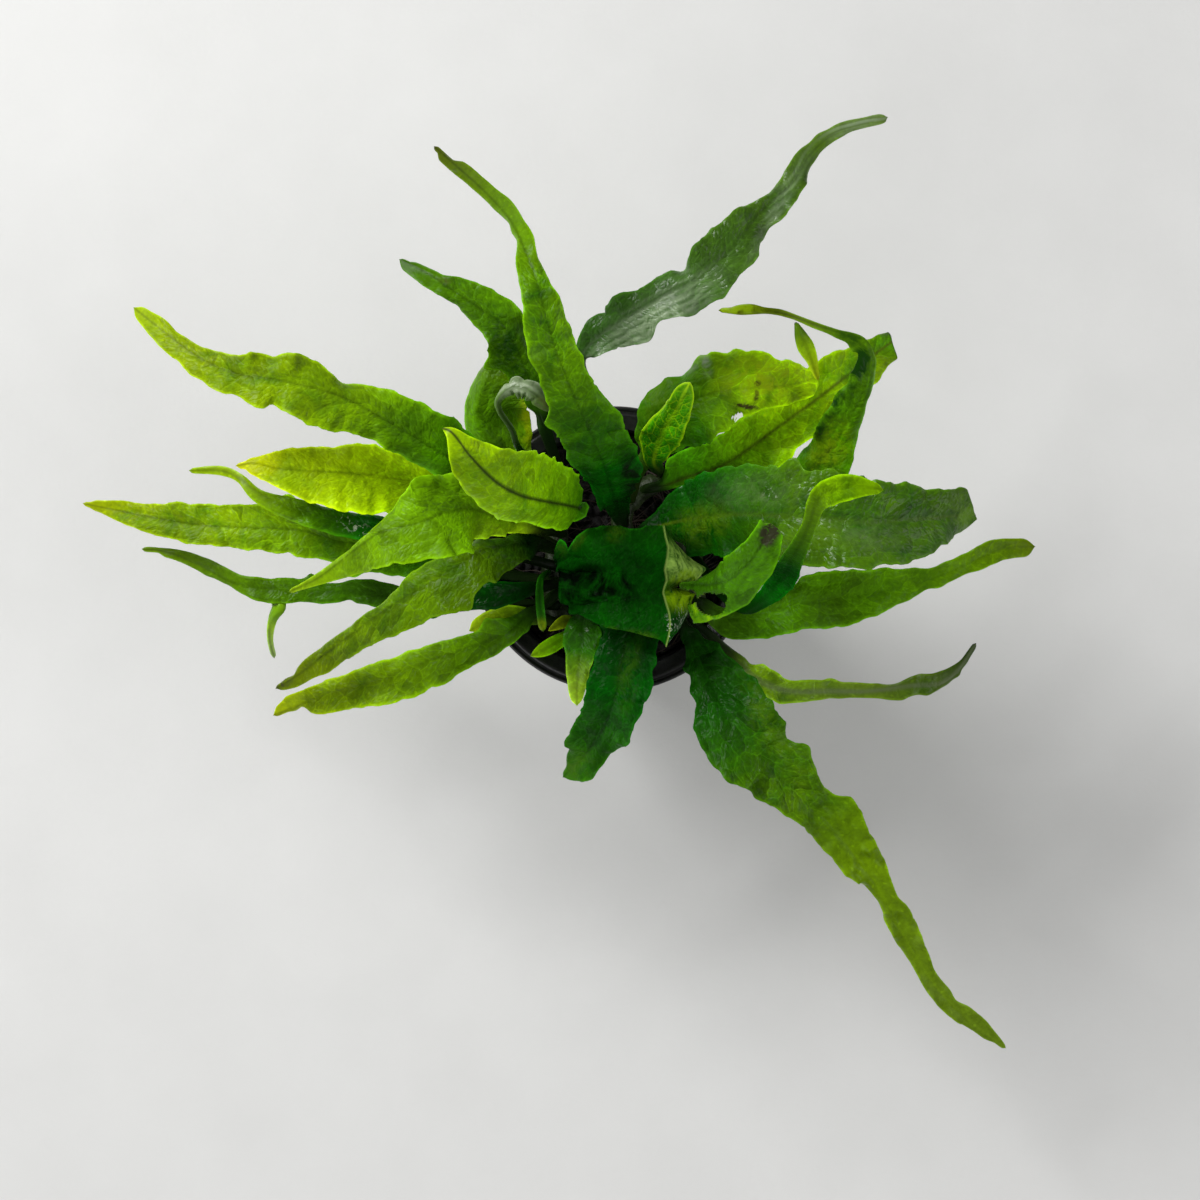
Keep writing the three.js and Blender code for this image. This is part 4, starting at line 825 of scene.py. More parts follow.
        mid=(0.039, 0.33, 0.00075), tip=(0.06468, 0.1848, 0.00039), deep=(0.0234, 0.198, 0.00045),
        midrib=((9, 14, 1, 0.8, 0.8), (7.4, 16.3, 12, 1.6, 1.8), (8.6, 20.3, 19, 3.9, 3.6),
            (9.7, 22.8, 23, 3, 3.7), (11.1, 25, 26, 2.4, 3.2), (12.1, 26.8, 28.5, 2.3, 2.6),
            (12.9, 28.8, 30.5, 1.8, 2.3), (14.1, 30.9, 32, 1.1, 1.1)),
    ),
    dict(
        node="leaf_right_broad", slot="leaf_grey", trough=0.1, ruffle=(0.5, 18), dents=0.3, greenFrom=0.3,
        endCut=((-1, 1.8), (-0.5, 0), (0, 0.2), (0.5, 0.9), (1, 2.4)), brightColour=(0.1, 0.22, 0.003),
        bright=((65.6, 6.6, 3.2, 4.4, 15, 0.8), (17, 4.6, 5, 3.6, 10, 0.8), (36, 3, 8, 3, -5, 0.5)),
        glint=((29.5, 10.3, 1.2, 0.8, 0, 1), (23.5, -4.2, 2.2, 0.9, -10, 1)),
        grey=((26, 10.5, 9, 3.4, 6, 0.35), (47, 2.4, 8, 3, -6, 0.4), (28, 10, 0.8, 0.4, 20, 1)),
        greyColour=(0.1, 0.16, 0.055), patchTone=(1.22, 0.7), ribShow=0.75, ribWidth=0.65,
        rib=(0.075, 0.135, 0.005), foot=(0.0008, 0.0014, 0.0005), low=(0.0028, 0.082, 0.0005),
        mid=(0.046, 0.12, 0.0005), tip=(0.032, 0.082, 0.0005), deep=(0.003, 0.041, 0.0005),
        midrib=((3.6, 2.6, 1, 0.9, 0.9), (8.5, 4.3, 5, 2.6, 2.4), (14, 5.5, 12, 6.8, 5.9),
            (23.5, 6.5, 24, 9.1, 7.5), (33, 6, 33, 9, 8.4), (40.5, 5.5, 36, 9.1, 8.9),
            (47.5, 5, 36, 7.8, 8.6), (55, 5.5, 34, 6.7, 7.7), (61.5, 6, 30, 5.5, 4.9),
            (67.5, 6.5, 24, 4, 3.5)),
        left=(1.2, 1, 1.6, 2, 2.6, 3.5, 4.7, 5.8, 6.8, 7.6, 8.2, 8.7, 9.1, 9.2, 9.2, 9.1, 11, 9, 9.1,
            9.2, 9.1, 8.9, 8.6, 8.4, 8.2, 7.9, 7.3, 7.1, 7.1, 6.5, 5.9, 5.3, 5.1, 5.1, 5.1, 4.6, 1.9),
        right=(1.2, 1.2, 1.9, 1.9, 2.4, 3.2, 4.1, 5.1, 7, 6.8, 7.6, 7.2, 7.5, 7.8, 8, 8.2, 8.4, 8.6, 9.1,
            9.2, 8.9, 8.9, 8.8, 8.7, 8.6, 8.2, 8.1, 8.1, 7.9, 7.1, 6.5, 5.6, 4.9, 4.3, 3.5, 2.7, 1.9),
    ),
    dict(
        node="leaf_highest", slot="leaf_fresh", trough=0.15, ruffle=(0.3, 12), greenFrom=0.4, relief=0.25,
        stalkColour=(0.003, 0.02, 0.001), gloss=0.02, tipFrom=0.93, low=(0.0008, 0.11, 0.0005),
        mid=(0.00165, 0.0645, 0.00038), tip=(0.13, 0.27, 0.0005), deep=(0.00092, 0.036, 0.0005),
        midrib=((15.6, -2.4, 1, 0.9, 0.9), (20, -8, 12, 1.1, 1.1), (24.3, -10.8, 24, 1.3, 1.3),
            (28, -9, 34, 1.5, 1.8), (31.3, -5.5, 44, 2.6, 2.7), (33.2, -2, 54, 2.1, 2.1),
            (35, 1.5, 63, 1.6, 1.7), (36.5, 5, 72, 1.3, 1.5), (37.7, 8.5, 80, 1.8, 1.9),
            (40, 10.6, 85, 2.5, 2.7), (44, 11.6, 88, 2.4, 2.5), (47.3, 11.5, 88, 1.5, 1.6),
            (50.2, 11, 87, 0.7, 0.7)),
    ),
    dict(
        node="leaf_forked", slot="leaf_yellow", trough=0.1, fineness=0.45, ruffle=(0.35, 8), relief=0.35,
        dents=0.3, uneven=0.03, veinTone=1.1, brownColour=(0.025, 0.027, 0.011),
        # bright: painted light on the curled-up rim round the holes
        bright=((18.3, -13, 3.4, 0.9, 6, 1), (15.1, -11.6, 0.8, 2, 0, 1)),
        brightColour=(0.17, 0.36, 0.001),
        endCut=((-1, 1.3), (-0.6, 0.6), (0, 0.2), (0.6, 0.5), (0.85, 0), (1, 0.3)),
        brown=((29.2, 3.4, 2.9, 1.5, 65, 3),),
        holes=((18.1, -10.3, 2.9, 2.1, -8), (20, -9.3, 1.3, 1, 20), (14.3, -9, 1.3, 1.5, 0)),
        mid=(0.021, 0.085, 0.0005), tip=(0.059, 0.2, 0.0005), low=(0.035, 0.13, 0.0005),
        deep=(0.0089, 0.036, 0.0005),
        midrib=((16.4, -8, 1, 0.8, 0.8), (15.4, -7.6, 12, 0.8, 0.8), (13.6, -7, 21, 0.8, 0.8),
            (12.9, -6.8, 27, 0.7, 0.7), (13.7, -6.7, 31.5, 0.6, 0.8), (14.5, -6.7, 34.5, 1.1, 4.4),
            (15.6, -6.7, 36.8, 2.3, 6.9), (17.1, -6.7, 39.5, 3.1, 6.9), (18.9, -6.5, 42.5, 3.8, 6.5),
            (21.5, -5.8, 47, 4.1, 5.7), (24.6, -3.3, 50.5, 3.7, 4.7), (27, -0.2, 52.5, 3, 4.2),
            (28.6, 3, 53.5, 2.4, 3), (29.3, 4.9, 54, 2.2, 2.5)),
    ),
    dict(
        node="leaf_centre_ruffled", slot="leaf_dark", trough=0, bare=True, fineness=0.7, ruffle=(1.1, 9),
        dents=0.8, uneven=0.02,
        endCut=((-1, 6.6), (-0.83, 5), (-0.7, 2.8), (-0.38, 2.1), (-0.22, 1.5), (-0.09, 1.2), (0, 0),
            (0.3, 0.5), (1, 2)),
        bumps=((-4, -7, 6.5, -6), (5, -11, 5, -1.5), (-1.5, 3, 1.6, 1.2), (-7.6, 1, 1.6, 1.5)),
        gloss=0.02, grey=((12.6, -1.8, 3.8, 3.4, 45, 1), (14.6, -4.2, 4, 2.2, 0, 1)), hang=(0.45, 0.15),
        brightColour=(0.25, 0.45, 0.003),
        sway=(-0.4, 0, 0.5, 0.2, -0.2, 0.2, -0.6, -0.2, 0.3, 0.45, 0.2, -0.1),
        flapKinds=("grey", "bright"),
        startCut=((-1, 5.4), (-0.962, 3.7), (-0.898, 4.1), (-0.875, 5), (-0.805, 3.1), (-0.7, 1.3),
            (-0.605, 1), (-0.533, 0.1), (-0.435, -0.4), (-0.381, 0.8), (-0.319, 1.1), (-0.214, 0.9),
            (-0.152, 0), (-0.071, -0.2), (0, 0), (1, 0)),
        shade=((-3, -7, 9, 4.2, -6, 1.3), (-9.5, -6, 5, 5.5, 0, 1.4)),
        # rib: a pale line along the crest of the fold, a painted highlight where the crest catches the light
        shadeColour=(0.0006, 0.004, 0.0005), rib=(0.3, 0.46, 0.09), ribShow=0.75, ribWidth=0.32,
        # edgeTone and bright: painted light on the lit upper outline and on the lobes of the flap
        edgeTone=3.5, bright=((13.4, -9, 3.6, 2.4, 0, 1.3), (13.2, -5.2, 2.6, 1.3, 20, 1)),
        # brown here is a light green, not browned tissue: painted light on the lit lobes of the upper
        # margin, and lighter mottles by the lower edge
        brown=((0.4, 3, 1.8, 1.5, 20, 0.9), (-10.3, -0.3, 1.6, 1.2, 0, 0.5),
            (-6.6, 1.4, 0.8, 1.8, -30, 0.7), (5, -16.2, 2.6, 1, -10, 1), (-1, -15.3, 1.6, 0.8, 0, 0.8)),
        brownColour=(0.05, 0.13, 0.004), glint=((12.7, -13.4, 2.4, 2, 0, 1), (10.5, -15.2, 0.6, 3, 0, 1)),
        # greyColour: painted sheen on the flap over its paler underside; the very dark foot to tip colours
        # are partly painted shade of the hollow the leaf faces into
        greyColour=(0.36, 0.58, 0.1), foot=(0.0061, 0.072, 0.0013), low=(0.0025, 0.069, 0.0011),
        mid=(0.0027, 0.055, 0.0013), tip=(0.002, 0.061, 0.0007), deep=(0.0017, 0.022, 0.00083),
        midrib=((9.7, 4.4, 24, 0.5, 21), (9.7, 1.7, 24, 1.6, 21), (9.8, -1.1, 24, 4.2, 21),
            (9.8, -2.8, 24, 6.8, 21), (9.8, -3.7, 24, 7.9, 21), (9.8, -5, 24, 6.5, 20.5),
            (9.7, -6.3, 24, 4.6, 20), (9.7, -7.2, 24, 2, 20), (9.8, -8.1, 24, 4.4, 19.5),
            (9.9, -9.2, 24, 5.8, 19), (10, -10.6, 23.9, 5.2, 18.5), (10.1, -12, 23.8, 4.3, 18),
            (10.1, -13.5, 23.7, 3.4, 17.5), (10.1, -15, 23.6, 2.4, 17), (10, -16.7, 23.5, 1.3, 17),
            (9.8, -18.3, 23.4, 0.4, 17)),
    ),
    dict(
        node="leaf_bottom", slot="leaf_mid", trough=0.15, ruffle=(0.9, 12),
        bright=((-6.9, -40.5, 3.2, 2.4, 40, 1), (2.8, -23, 7, 2, 80, 0.5)),
        brightColour=(0.045, 0.14, 0.003), patchTone=(1.25, 0.68), low=(0.0008, 0.025, 0.0005),
        mid=(0.0008, 0.069, 0.0005), tip=(0.025, 0.11, 0.0005), deep=(0.0008, 0.028, 0.0005),
        midrib=((5, -7.5, 1, 0.9, 0.9), (3.5, -12.5, 7, 5, 5), (2, -18, 10, 6.2, 4.8),
            (0.5, -26.5, 9, 5.7, 5.7), (-2, -33.5, 5, 5.4, 5.1), (-5.5, -38.5, 1, 3.8, 3.9),
            (-9.5, -42.5, -3, 0.6, 0.6)),
        left=(0.9, 2, 3.1, 4.2, 5, 5.5, 5.9, 6.1, 5.8, 6.3, 6.1, 6.3, 6, 5.6, 5.1, 5.3, 5.4, 4.7, 3.9,
            3.6, 3.8, 4.1, 3.3, 2.2, 1.2),
        right=(0.9, 3.3, 1.6, 3.4, 5, 5.5, 5.8, 4.9, 4.8, 5, 5.3, 5.6, 5.7, 5.7, 5.1, 5.3, 5.2, 5.2, 5.1,
            4.8, 4.2, 3.2, 2.4, 1, 1),
    ),
    dict(
        node="leaf_lower_right_long", slot="leaf_mid", trough=0.2, ruffle=(1.1, 15),
        left=(0.9, 0.7, 1.8, 2.3, 4.0, 4.6, 5.7, 6.5, 7.3, 7.7, 7.8, 8.0, 7.9, 7.5, 5.9, 7.4, 5.8, 4.6,
            4.3, 4.4, 6.5, 5.9, 5.3, 4.6, 4.4, 4.2, 3.8, 3.2, 2.6, 2.4, 3.1, 3.3, 3.1, 2.5, 2.2, 1.6,
            1.6, 1.6, 1.1, 1.8, 2.0, 1.9, 1.4, 0.9, 0.3),
        right=(0.9, 1.2, 1.7, 1.8, 3.7, 3.3, 4.4, 4.5, 5.7, 6.8, 7.6, 7.4, 7.8, 7.7, 6.4, 6.2, 5.5, 4.8,
            4.4, 3.9, 4.0, 4.1, 4.0, 3.9, 3.8, 3.8, 2.9, 2.1, 1.7, 1.3, 1.5, 1.9, 1.9, 1.7, 1.5, 1.8,
            2.0, 2.1, 2.1, 1.9, 1.4, 1.1, 1.0, 0.5, 0.3),
        # bright: painted light on the lit right part of the leaf
        ribTone=1.12, bright=((29, -33, 9, 2.6, -62, 0.6),), brightColour=(0.09, 0.2, 0.002), relief=1.5,
        dents=0.9, veinTone=1.55, patchTone=(1.22, 0.66), veinsUntil=0.36, foot=(0.0012, 0.024, 0.0005),
        low=(0.006, 0.06, 0.0005), mid=(0.097, 0.18, 0.00086), tip=(0.09, 0.15, 0.006),
        deep=(0.008, 0.062, 0.0005),
        midrib=((12.6, -13, 1, 0.9, 0.9), (16, -20, 8, 3, 2.4), (20, -28, 13, 7.3, 5.3),
            (24.5, -35.5, 15, 7.6, 7), (33, -44, 14, 5.9, 5.2), (39.5, -50.5, 12, 6.1, 3.7),
            (45, -57, 8, 4.4, 3.6), (49.5, -63.5, 4, 2.8, 1.6), (54, -72, -2, 3.1, 1.7),
            (60, -81.5, -8, 1.3, 1.8), (66.5, -88, -13, 1.7, 1.1), (73, -93, -18, 0.3, 0.3)),
    ),
    dict(
        node="leaf_right_thin", slot="leaf_grey", trough=0.1, ruffle=(0.5, 12), greenFrom=0.12,
        rib=(0.14, 0.18, 0.08), ribWidth=1.5, ribShow=0.6, low=(0.28, 0.56, 0.0005),
        mid=(0.11, 0.19, 0.0068), tip=(0.0063, 0.023, 0.0005), deep=(0.014, 0.07, 0.0005),
        midrib=((15, -13.6, 1, 0.8, 0.8), (22, -20, 3.2, 1.2, 1.2), (27, -24.5, 3, 2.4, 2.2),
            (33, -26.5, 2, 2, 2.3), (40.5, -26.5, 1, 1.8, 1.8), (47.5, -26.5, 0, 1.2, 1.4),
            (55, -25.5, -1, 1.3, 2.2), (61, -25, -2, 1.9, 0.9), (64.5, -22, -3, 1, 0.9),
            (67.5, -17.5, -4, 0.3, 0.3)),
        left=(0.8, 0.9, 1, 1, 1.2, 1.5, 1.5, 2.8, 3.1, 3, 2.7, 2.1, 2.1, 2.2, 2.3, 2.2, 2.4, 1.8, 1.8,
            1.7, 1.5, 1.3, 0.8, 0.8, 1.5, 2.1, 2.1, 2.2, 2.2, 2.1, 1.8, 1.4, 1, 0.7, 0.6, 0.5, 0.3),
        right=(0.8, 0.9, 1, 1.1, 1.2, 1.4, 1.7, 2, 2.2, 2.3, 2.3, 2.8, 2.2, 2, 1.8, 1.6, 1.4, 1.4, 1.2,
            1.2, 1.3, 1.6, 2.2, 2.5, 2, 1.8, 2, 1.4, 0.9, 0.8, 0.7, 1, 0.6, 0.6, 0.5, 0.5, 0.3),
    ),
    dict(
        node="leaf_right_straight", slot="leaf_fresh", trough=0.15, ruffle=(0.9, 14),
        left=(0.9, 1.2, 1.2, 1.4, 1.6, 1.8, 2.0, 2.2, 2.2, 3.2, 4.9, 5.6, 5.3, 5.3, 5.0, 4.5, 4.5, 4.1,
            3.5, 3.2, 2.5, 2.0, 2.1, 2.0, 2.1, 2.0, 2.2, 2.2, 1.9, 1.7, 1.6, 1.4, 0.3),
        right=(0.9, 1.4, 2.4, 3.3, 3.8, 4.1, 4.5, 4.9, 5.0, 4.8, 4.8, 5.0, 5.3, 5.2, 4.8, 4.4, 3.9, 3.3,
            2.7, 2.2, 1.6, 2.0, 1.8, 1.7, 1.6, 2.1, 2.1, 2.2, 2.2, 2.1, 2.0, 1.8, 0.3),
        ribTone=0.8, shade=((54, -5.5, 10, 5, 14, 0.4),), shadeColour=(0.02, 0.08, 0.001),
        low=(0.076, 0.25, 0.0005), mid=(0.087, 0.24, 0.0005), tip=(0.069, 0.11, 0.0005),
        deep=(0.036, 0.095, 0.0005),
        midrib=((16, -9.8, 1, 0.9, 0.9), (22.5, -13, 3.4, 1.6, 1.6), (31, -11, 6, 2.6, 4.8),
            (40.5, -9.5, 8, 5.3, 5.4), (49.5, -8, 9, 4, 3.8), (58, -6, 9, 1.9, 1.7),
            (65.5, -3, 8, 1.9, 1.4), (72, 0, 6, 1.6, 1.7), (78.5, 0.5, 4, 0.3, 0.3)),
    ),
    dict(
        node="plantlet_leaf_left", slot="leaf_fresh", trough=0.1, mid=(0.26, 0.72, 0.0015),
        tip=(0.18, 0.33, 0.0005), low=(0.16, 0.51, 0.0011), deep=(0.082, 0.25, 0.0005),
        midrib=((-7.6, -15.4, 2, 0.6, 0.6), (-10.5, -17.3, 5, 1.4, 1.4), (-13.2, -18.8, 6, 1.3, 1.3),
            (-15.6, -20, 6, 0.3, 0.3)),
    ),
    dict(
        node="plantlet_leaf_down", slot="leaf_pale", trough=0.1, low=(0.0008, 0.015, 0.0005),
        mid=(0.033, 0.18, 0.0005), tip=(0.53, 0.85, 0.031), deep=(0.011, 0.069, 0.0005),
        midrib=((-5.9, -11.5, 4, 0.8, 0.8), (-5.8, -13.2, 8, 2.2, 2.4), (-5.9, -15.6, 9.5, 3.6, 3.5),
            (-6.1, -18, 9, 3.2, 3.3), (-6.5, -20.7, 8, 2.5, 2.5), (-6.8, -24.4, 6, 1.9, 2),
            (-6.9, -27.3, 4.5, 1.3, 1.4), (-6.9, -29.2, 3.5, 0.5, 0.5)),
    ),
    dict(
        node="plantlet_leaf_small", slot="leaf_yellow", trough=0.1, low=(0.04, 0.12, 0.003),
        mid=(0.17, 0.26, 0.003), tip=(0.22, 0.3, 0.003),
        midrib=((-7.6, -13.2, 2, 0.6, 0.6), (-9.4, -13.6, 5, 1.2, 1.2), (-12.2, -15.2, 6, 0.3, 0.3)),
    ),
    dict(
        node="sprout_left", slot="leaf_dark", trough=0.1, foot=(0.002, 0.02, 0.0005),
        stalkColour=(0.004, 0.04, 0.0005), low=(0.005, 0.07, 0.0008), mid=(0.012, 0.11, 0.001),
        deep=(0.005, 0.07, 0.0008), tip=(0.012, 0.09, 0.001), bright=((-13.4, -14.6, 1.6, 1.6, 0, 1.2),),
        brightColour=(0.2, 0.3, 0.003),
        midrib=((-12.2, -4.3, 1.8, 0.5, 0.5), (-13.7, -5.8, 8, 0.6, 0.6), (-13.8, -10, 12, 0.8, 0.8),
            (-13.2, -15.4, 11, 0.8, 0.8)),
    ),
    dict(
        node="plantlet_on_hooked_leaf", slot="leaf_fresh", trough=0.1, foot=(0.08, 0.17, 0.003),
        stalkColour=(0.08, 0.17, 0.003), ruffle=(0.2, 8), mid=(0.19, 0.34, 0.0028),
        low=(0.15, 0.26, 0.0017), tip=(0.24, 0.31, 0.0033), deep=(0.08, 0.14, 0.0012),
        midrib=((34.1, 41.7, 29, 0.5, 0.5), (34.9, 39.8, 28.6, 1.1, 1.3), (35.9, 37.6, 28, 1.5, 1.7),
            (36.8, 35.2, 27.4, 1.2, 1), (37.4, 33.2, 26.8, 0.8, 0.6), (38.1, 31.4, 26, 0.5, 0.5)),
    ),
    dict(
        node="plantlet_on_low_leaf", slot="leaf_fresh", trough=0.1, ruffle=(0.2, 8), veinTone=1,
        foot=(0.16, 0.32, 0.004), stalkColour=(0.14, 0.3, 0.004), low=(0.16, 0.32, 0.005),
        mid=(0.2, 0.34, 0.02), tip=(0.22, 0.32, 0.1), deep=(0.12, 0.25, 0.004),
        midrib=((-62.6, -10.6, 1.2, 1.6, 1), (-63.8, -13, -1, 1.1, 0.7), (-64.2, -16.5, -4, 0.7, 0.5),
            (-63.3, -20.3, -7, 0.3, 0.3)),
    ),
]


def seenFrom(points):
    # Where a point looks to be, at the height of the rim, from straight above
    scale = 1 - (points[..., 2:] - potHeight) / viewHeight
    return viewCentre + (points[..., :2] - viewCentre) / scale


def farFrom(plan, x, y, halfLength, halfWidth, turn):
    # Square of the distance from (x, y), measured in half lengths and half widths of a turned oval
    dx, dy = plan[..., 0] - x, plan[..., 1] - y
    c, k = np.cos(np.radians(turn)), np.sin(np.radians(turn))
    return ((dx * c + dy * k) / halfLength) ** 2 + ((dy * c - dx * k) / halfWidth) ** 2


def midribOf(leaf):
    # The leaf's path, its two half widths and its left and upward directions at even steps of length
    rows = np.array(leaf["midrib"], float)
    foot = 0 if leaf.get("bare") else 1
    if foot:
        rows = np.vstack([rows[0] - np.array([0, 0, shape["footDepth"], 0, 0]), rows])
    scale = 1 - rows[:, 2:3] / viewHeight
    places = np.hstack([viewCentre + (rows[:, :2] - viewCentre) * scale, potHeight + rows[:, 2:3]])
    fine = np.linspace(0, 1, shape["fineSteps"])
    path = throughRows(places, fine)
    widths = throughRows(rows[:, 3:5], fine)
    if "left" in leaf:
        margins = np.stack([leaf["left"], leaf["right"]], 1)
        overFoot = np.clip((fine * (len(rows) - 1) - foot) / (len(rows) - 1 - foot), 0, 1)
        widths = throughRows(margins, overFoot)
    widths = np.maximum(widths, shape["leastHalf"]) * (1 - (path[:, 2:] - potHeight) / viewHeight)
    walked = np.concatenate([[0], np.cumsum(np.linalg.norm(np.diff(path, axis=0), axis=1))])
    step = shape["stepAlong"] * leaf.get("fineness", 1)
    even = np.linspace(0, walked[-1], int(walked[-1] / step) + shape["moreStations"])
    path = np.stack([np.interp(even, walked, column) for column in path.T], 1)
    widths = np.stack([np.interp(even, walked, column) for column in widths.T], 1)
    along = unit(np.gradient(path, axis=0))
    left = unit(np.cross(np.array([0, 0, 1.0]), along))
    reach = shape["frameSmoothing"]
    padded = np.pad(left, ((reach, reach), (0, 0)), "edge")
    left = np.stack([np.convolve(column, np.ones(2 * reach + 1), "valid") for column in padded.T], 1)
    left = unit(left - along * np.sum(left * along, 1, keepdims=True))
    return even, path, widths, left, np.cross(along, left)


def gridOf(leaf, even, widths):
    # u along the leaf in millimetres and v across it, from -1 at the right margin to 1 at the left one.
    # A cut end or start moves its stations back by cut(v), fading out over a few times the deepest cut.
    step = shape["stepAcross"] * leaf.get("fineness", 1)
    columns = int(np.clip(widths.sum(1).max() / step, shape["leastColumns"], shape["mostColumns"]))
    last = shape["lastColumn"]
    v = np.concatenate([[-1], np.linspace(-last, last, columns), [1]])[None]
    u = even[:, None] + 0 * v
    length = even[-1]
    if "endCut" in leaf:
        cut = np.interp(v, *np.array(leaf["endCut"]).T)
        u = u - cut * ramp(length - shape["endCutReach"] * cut.max(), length, u)
    if "startCut" in leaf:
        cut = np.interp(v, *np.array(leaf["startCut"]).T)
        u = u + cut * (1 - ramp(0, shape["startCutReach"] * cut.max(), u))
    return u, v


def twoSided(v, x, period, seed):
    # Uneven waves that run their own way on either side of the midrib
    return np.where(v > 0, waves(x, period, seed), waves(x, period, seed + 1))


def bladeSheets(leaf, seed):
    # Point of the blade: midrib(u) + left(u) * (s + sway(u)) + upward(u) * lift, with s = v * half width.
    # lift = trough * width * v^2 - fold * v^2 + ruffle * |v|^power * waves(u) - groove(s) + dents(u, s)
    # - hang * |s|^power + bumps, and both faces stand half the thickness off that sheet.
    even, path, widths, left, upward = midribOf(leaf)
    u, v = gridOf(leaf, even, widths)
    length = even[-1]
    along = u / length

    def at(columns):
        return np.stack([np.interp(u, even, column) for column in columns.T], -1)

    centre, sideways, over = at(path), at(left), at(upward)
    leftHalf, rightHalf = np.moveaxis(at(widths), -1, 0)
    mean = (leftHalf + rightHalf) / 2
    blade = ramp(*shape["bladeWidths"], mean)
    stalk = (1 - ramp(*shape["stalkWidths"], mean)) * (1 - ramp(*shape["stalkEnd"], along))
    if leaf.get("bare"):
        blade, stalk = np.ones_like(u), np.zeros_like(u)

    # Half width on each side, with an uneven margin, nicks and a rounded end
    blend = shape["sideBlend"]
    own = rightHalf + (leftHalf - rightHalf) * ramp(-blend, blend, v)
    margin = twoSided(v, u, shape["marginPeriod"], seed)
    own = own * (1 + leaf.get("uneven", shape["uneven"]) * blade * margin * np.abs(v))
    middleColumn = v.shape[1] // 2
    seenRib = seenFrom(centre[:, middleColumn])
    for x, y, nickSide, depth, reach in leaf.get("nicks", ()):
        near = u[np.argmin(np.hypot(seenRib[:, 0] - x, seenRib[:, 1] - y)), middleColumn]
        onSide = ramp(0, shape["nickSide"], nickSide * v)
        own = own * (1 - depth * onSide * np.exp(-np.abs((u - near) / reach) ** shape["nickPower"]))
    if "endCut" not in leaf:
        rounding = shape["endRound"][0] + shape["endRound"][1] * widths[-1].mean()
        toEnd = np.clip((length - u) / rounding, 0, 1)
        own = own * np.sqrt(np.clip(1 - (1 - toEnd) ** 2, shape["leastEnd"], 1))
    s = v * own

    # Lift of the sheet over the midrib
    otherHalf = np.where(v > 0, rightHalf, leftHalf)
    sloped = np.sqrt(np.maximum(0, otherHalf**2 - own**2))
    ruffle, period = leaf.get("ruffle", shape["ruffle"])
    wave = twoSided(v, u, period, seed + 2)
    wave = wave + shape["ruffleShare"] * twoSided(v, u, period / shape["ruffleShorter"], seed + 4)
    fade = blade * ramp(0, shape["tipFade"], shape["tipReach"] - along)
    ribWidth = (shape["ribWidths"][0] + shape["ribWidths"][1] * (1 - along)) * leaf.get("ribWidth", 1)
    rib = np.exp(-((s / ribWidth) ** 2))
    slant, counterSlant = shape["dentSlant"]
    longPeriod, shortPeriod = shape["dentPeriods"]
    dents = waves(u + slant * s, longPeriod, seed + 7) * waves(s - counterSlant * u, shortPeriod, seed + 8)
    lift = leaf["trough"] * own * v**2 - shape["fold"] * sloped * v**2
    lift = lift + ruffle * fade * wave * np.abs(v) ** shape["rufflePower"]
    lift = lift - shape["groove"] * blade * np.exp(-((s / shape["grooveWidth"]) ** 2))
    lift = lift + leaf.get("dents", shape["dents"]) * blade * dents * (1 - rib) * fade
    hangLeft, hangRight = leaf.get("hang", (0, 0))
    lift = lift - np.where(v > 0, hangLeft, hangRight) * np.abs(s) ** shape["hangPower"]
    for x, y, radius, height in leaf.get("bumps", ()):
        plan = seenFrom(centre + sideways * s[..., None])
        lift = lift + height * np.exp(-((plan[..., 0] - x) ** 2 + (plan[..., 1] - y) ** 2) / radius**2)

    # Both faces; a stalk is nearly round, and the midrib stands out as a ridge underneath
    sway = leaf.get("sway", (0, 0))
    shift = np.interp(along, np.linspace(0, 1, len(sway)), sway) * np.exp(-np.abs(s) / shape["swayReach"])
    sheet = centre + sideways * (s + shift)[..., None] + over * lift[..., None]
    flat = shape["halfThickness"] * (1 - shape["thinning"] * v ** shape["thinPower"])
    rod = shape["stalkRound"] * own * np.sqrt(1 - shape["stalkOpen"] * v**2)
    thick = flat + (rod - flat) * stalk
    ridge = (1 - stalk) * shape["ridge"] * (1 - along) ** shape["ridgePower"]
    ridge = ridge * np.exp(-((s / shape["ridgeWidth"]) ** 2)) * ramp(0, shape["ridgeEnd"], 1.0 - along)
    top = sheet + over * thick[..., None]
    under = sheet - over * (thick + ridge)[..., None]

    plan = seenFrom(sheet)
    keep = np.ones((u.shape[0] - 1, u.shape[1] - 1), bool)
    for hole in leaf.get("holes", ()):
        keep &= farFrom((plan[1:, 1:] + plan[:-1, :-1]) / 2, *hole) > 1

    # Values per point that the leaf's material reads
    cellLength, cellWidth = leaf.get("cell", shape["cell"])
    cellAlong = (u - shape["cellSlant"] * np.abs(s)) / cellLength + seed
    fromEdge = u - u[:1] if "startCut" in leaf else own - np.abs(s)
    veinsUntil = leaf.get("veinsUntil", shape["veinsUntil"])
    veined = (1 - v ** shape["bladePower"]) * (1 - ramp(veinsUntil, veinsUntil + shape["veinFade"], along))
    wander, wanderPeriod = shape["streakWander"]
    streakAcross = s + shape["streakSlant"] * u + wander * waves(u, wanderPeriod, seed)
    values = dict(
        along=along,
        rib=rib * (1 - shape["stalkRib"] * stalk),
        blade=blade * veined,
        cellPlace=np.stack([cellAlong, s / cellWidth, 0 * u], -1),
        # edge: a lighter line along the margin, or along a cut start, partly the leaf's thin paler margin
        # and partly a painted rim highlight
        edge=np.exp(-((fromEdge / shape["edgeWidth"]) ** 2)) * (1 - stalk),
        streak=waves(streakAcross, shape["streakPeriod"], seed + 9) * 0.5 + 0.5,
        stalk=stalk,
    )
    for kind in patchKinds:
        total = 0 * u
        for *oval, strength in leaf.get(kind, ()):
            total = np.maximum(total, strength * np.exp(-(farFrom(plan, *oval) ** shape["patchPower"])))
        values[kind] = total * (v > 0) if kind in leaf.get("flapKinds", ()) else total
    return top, under, keep, values


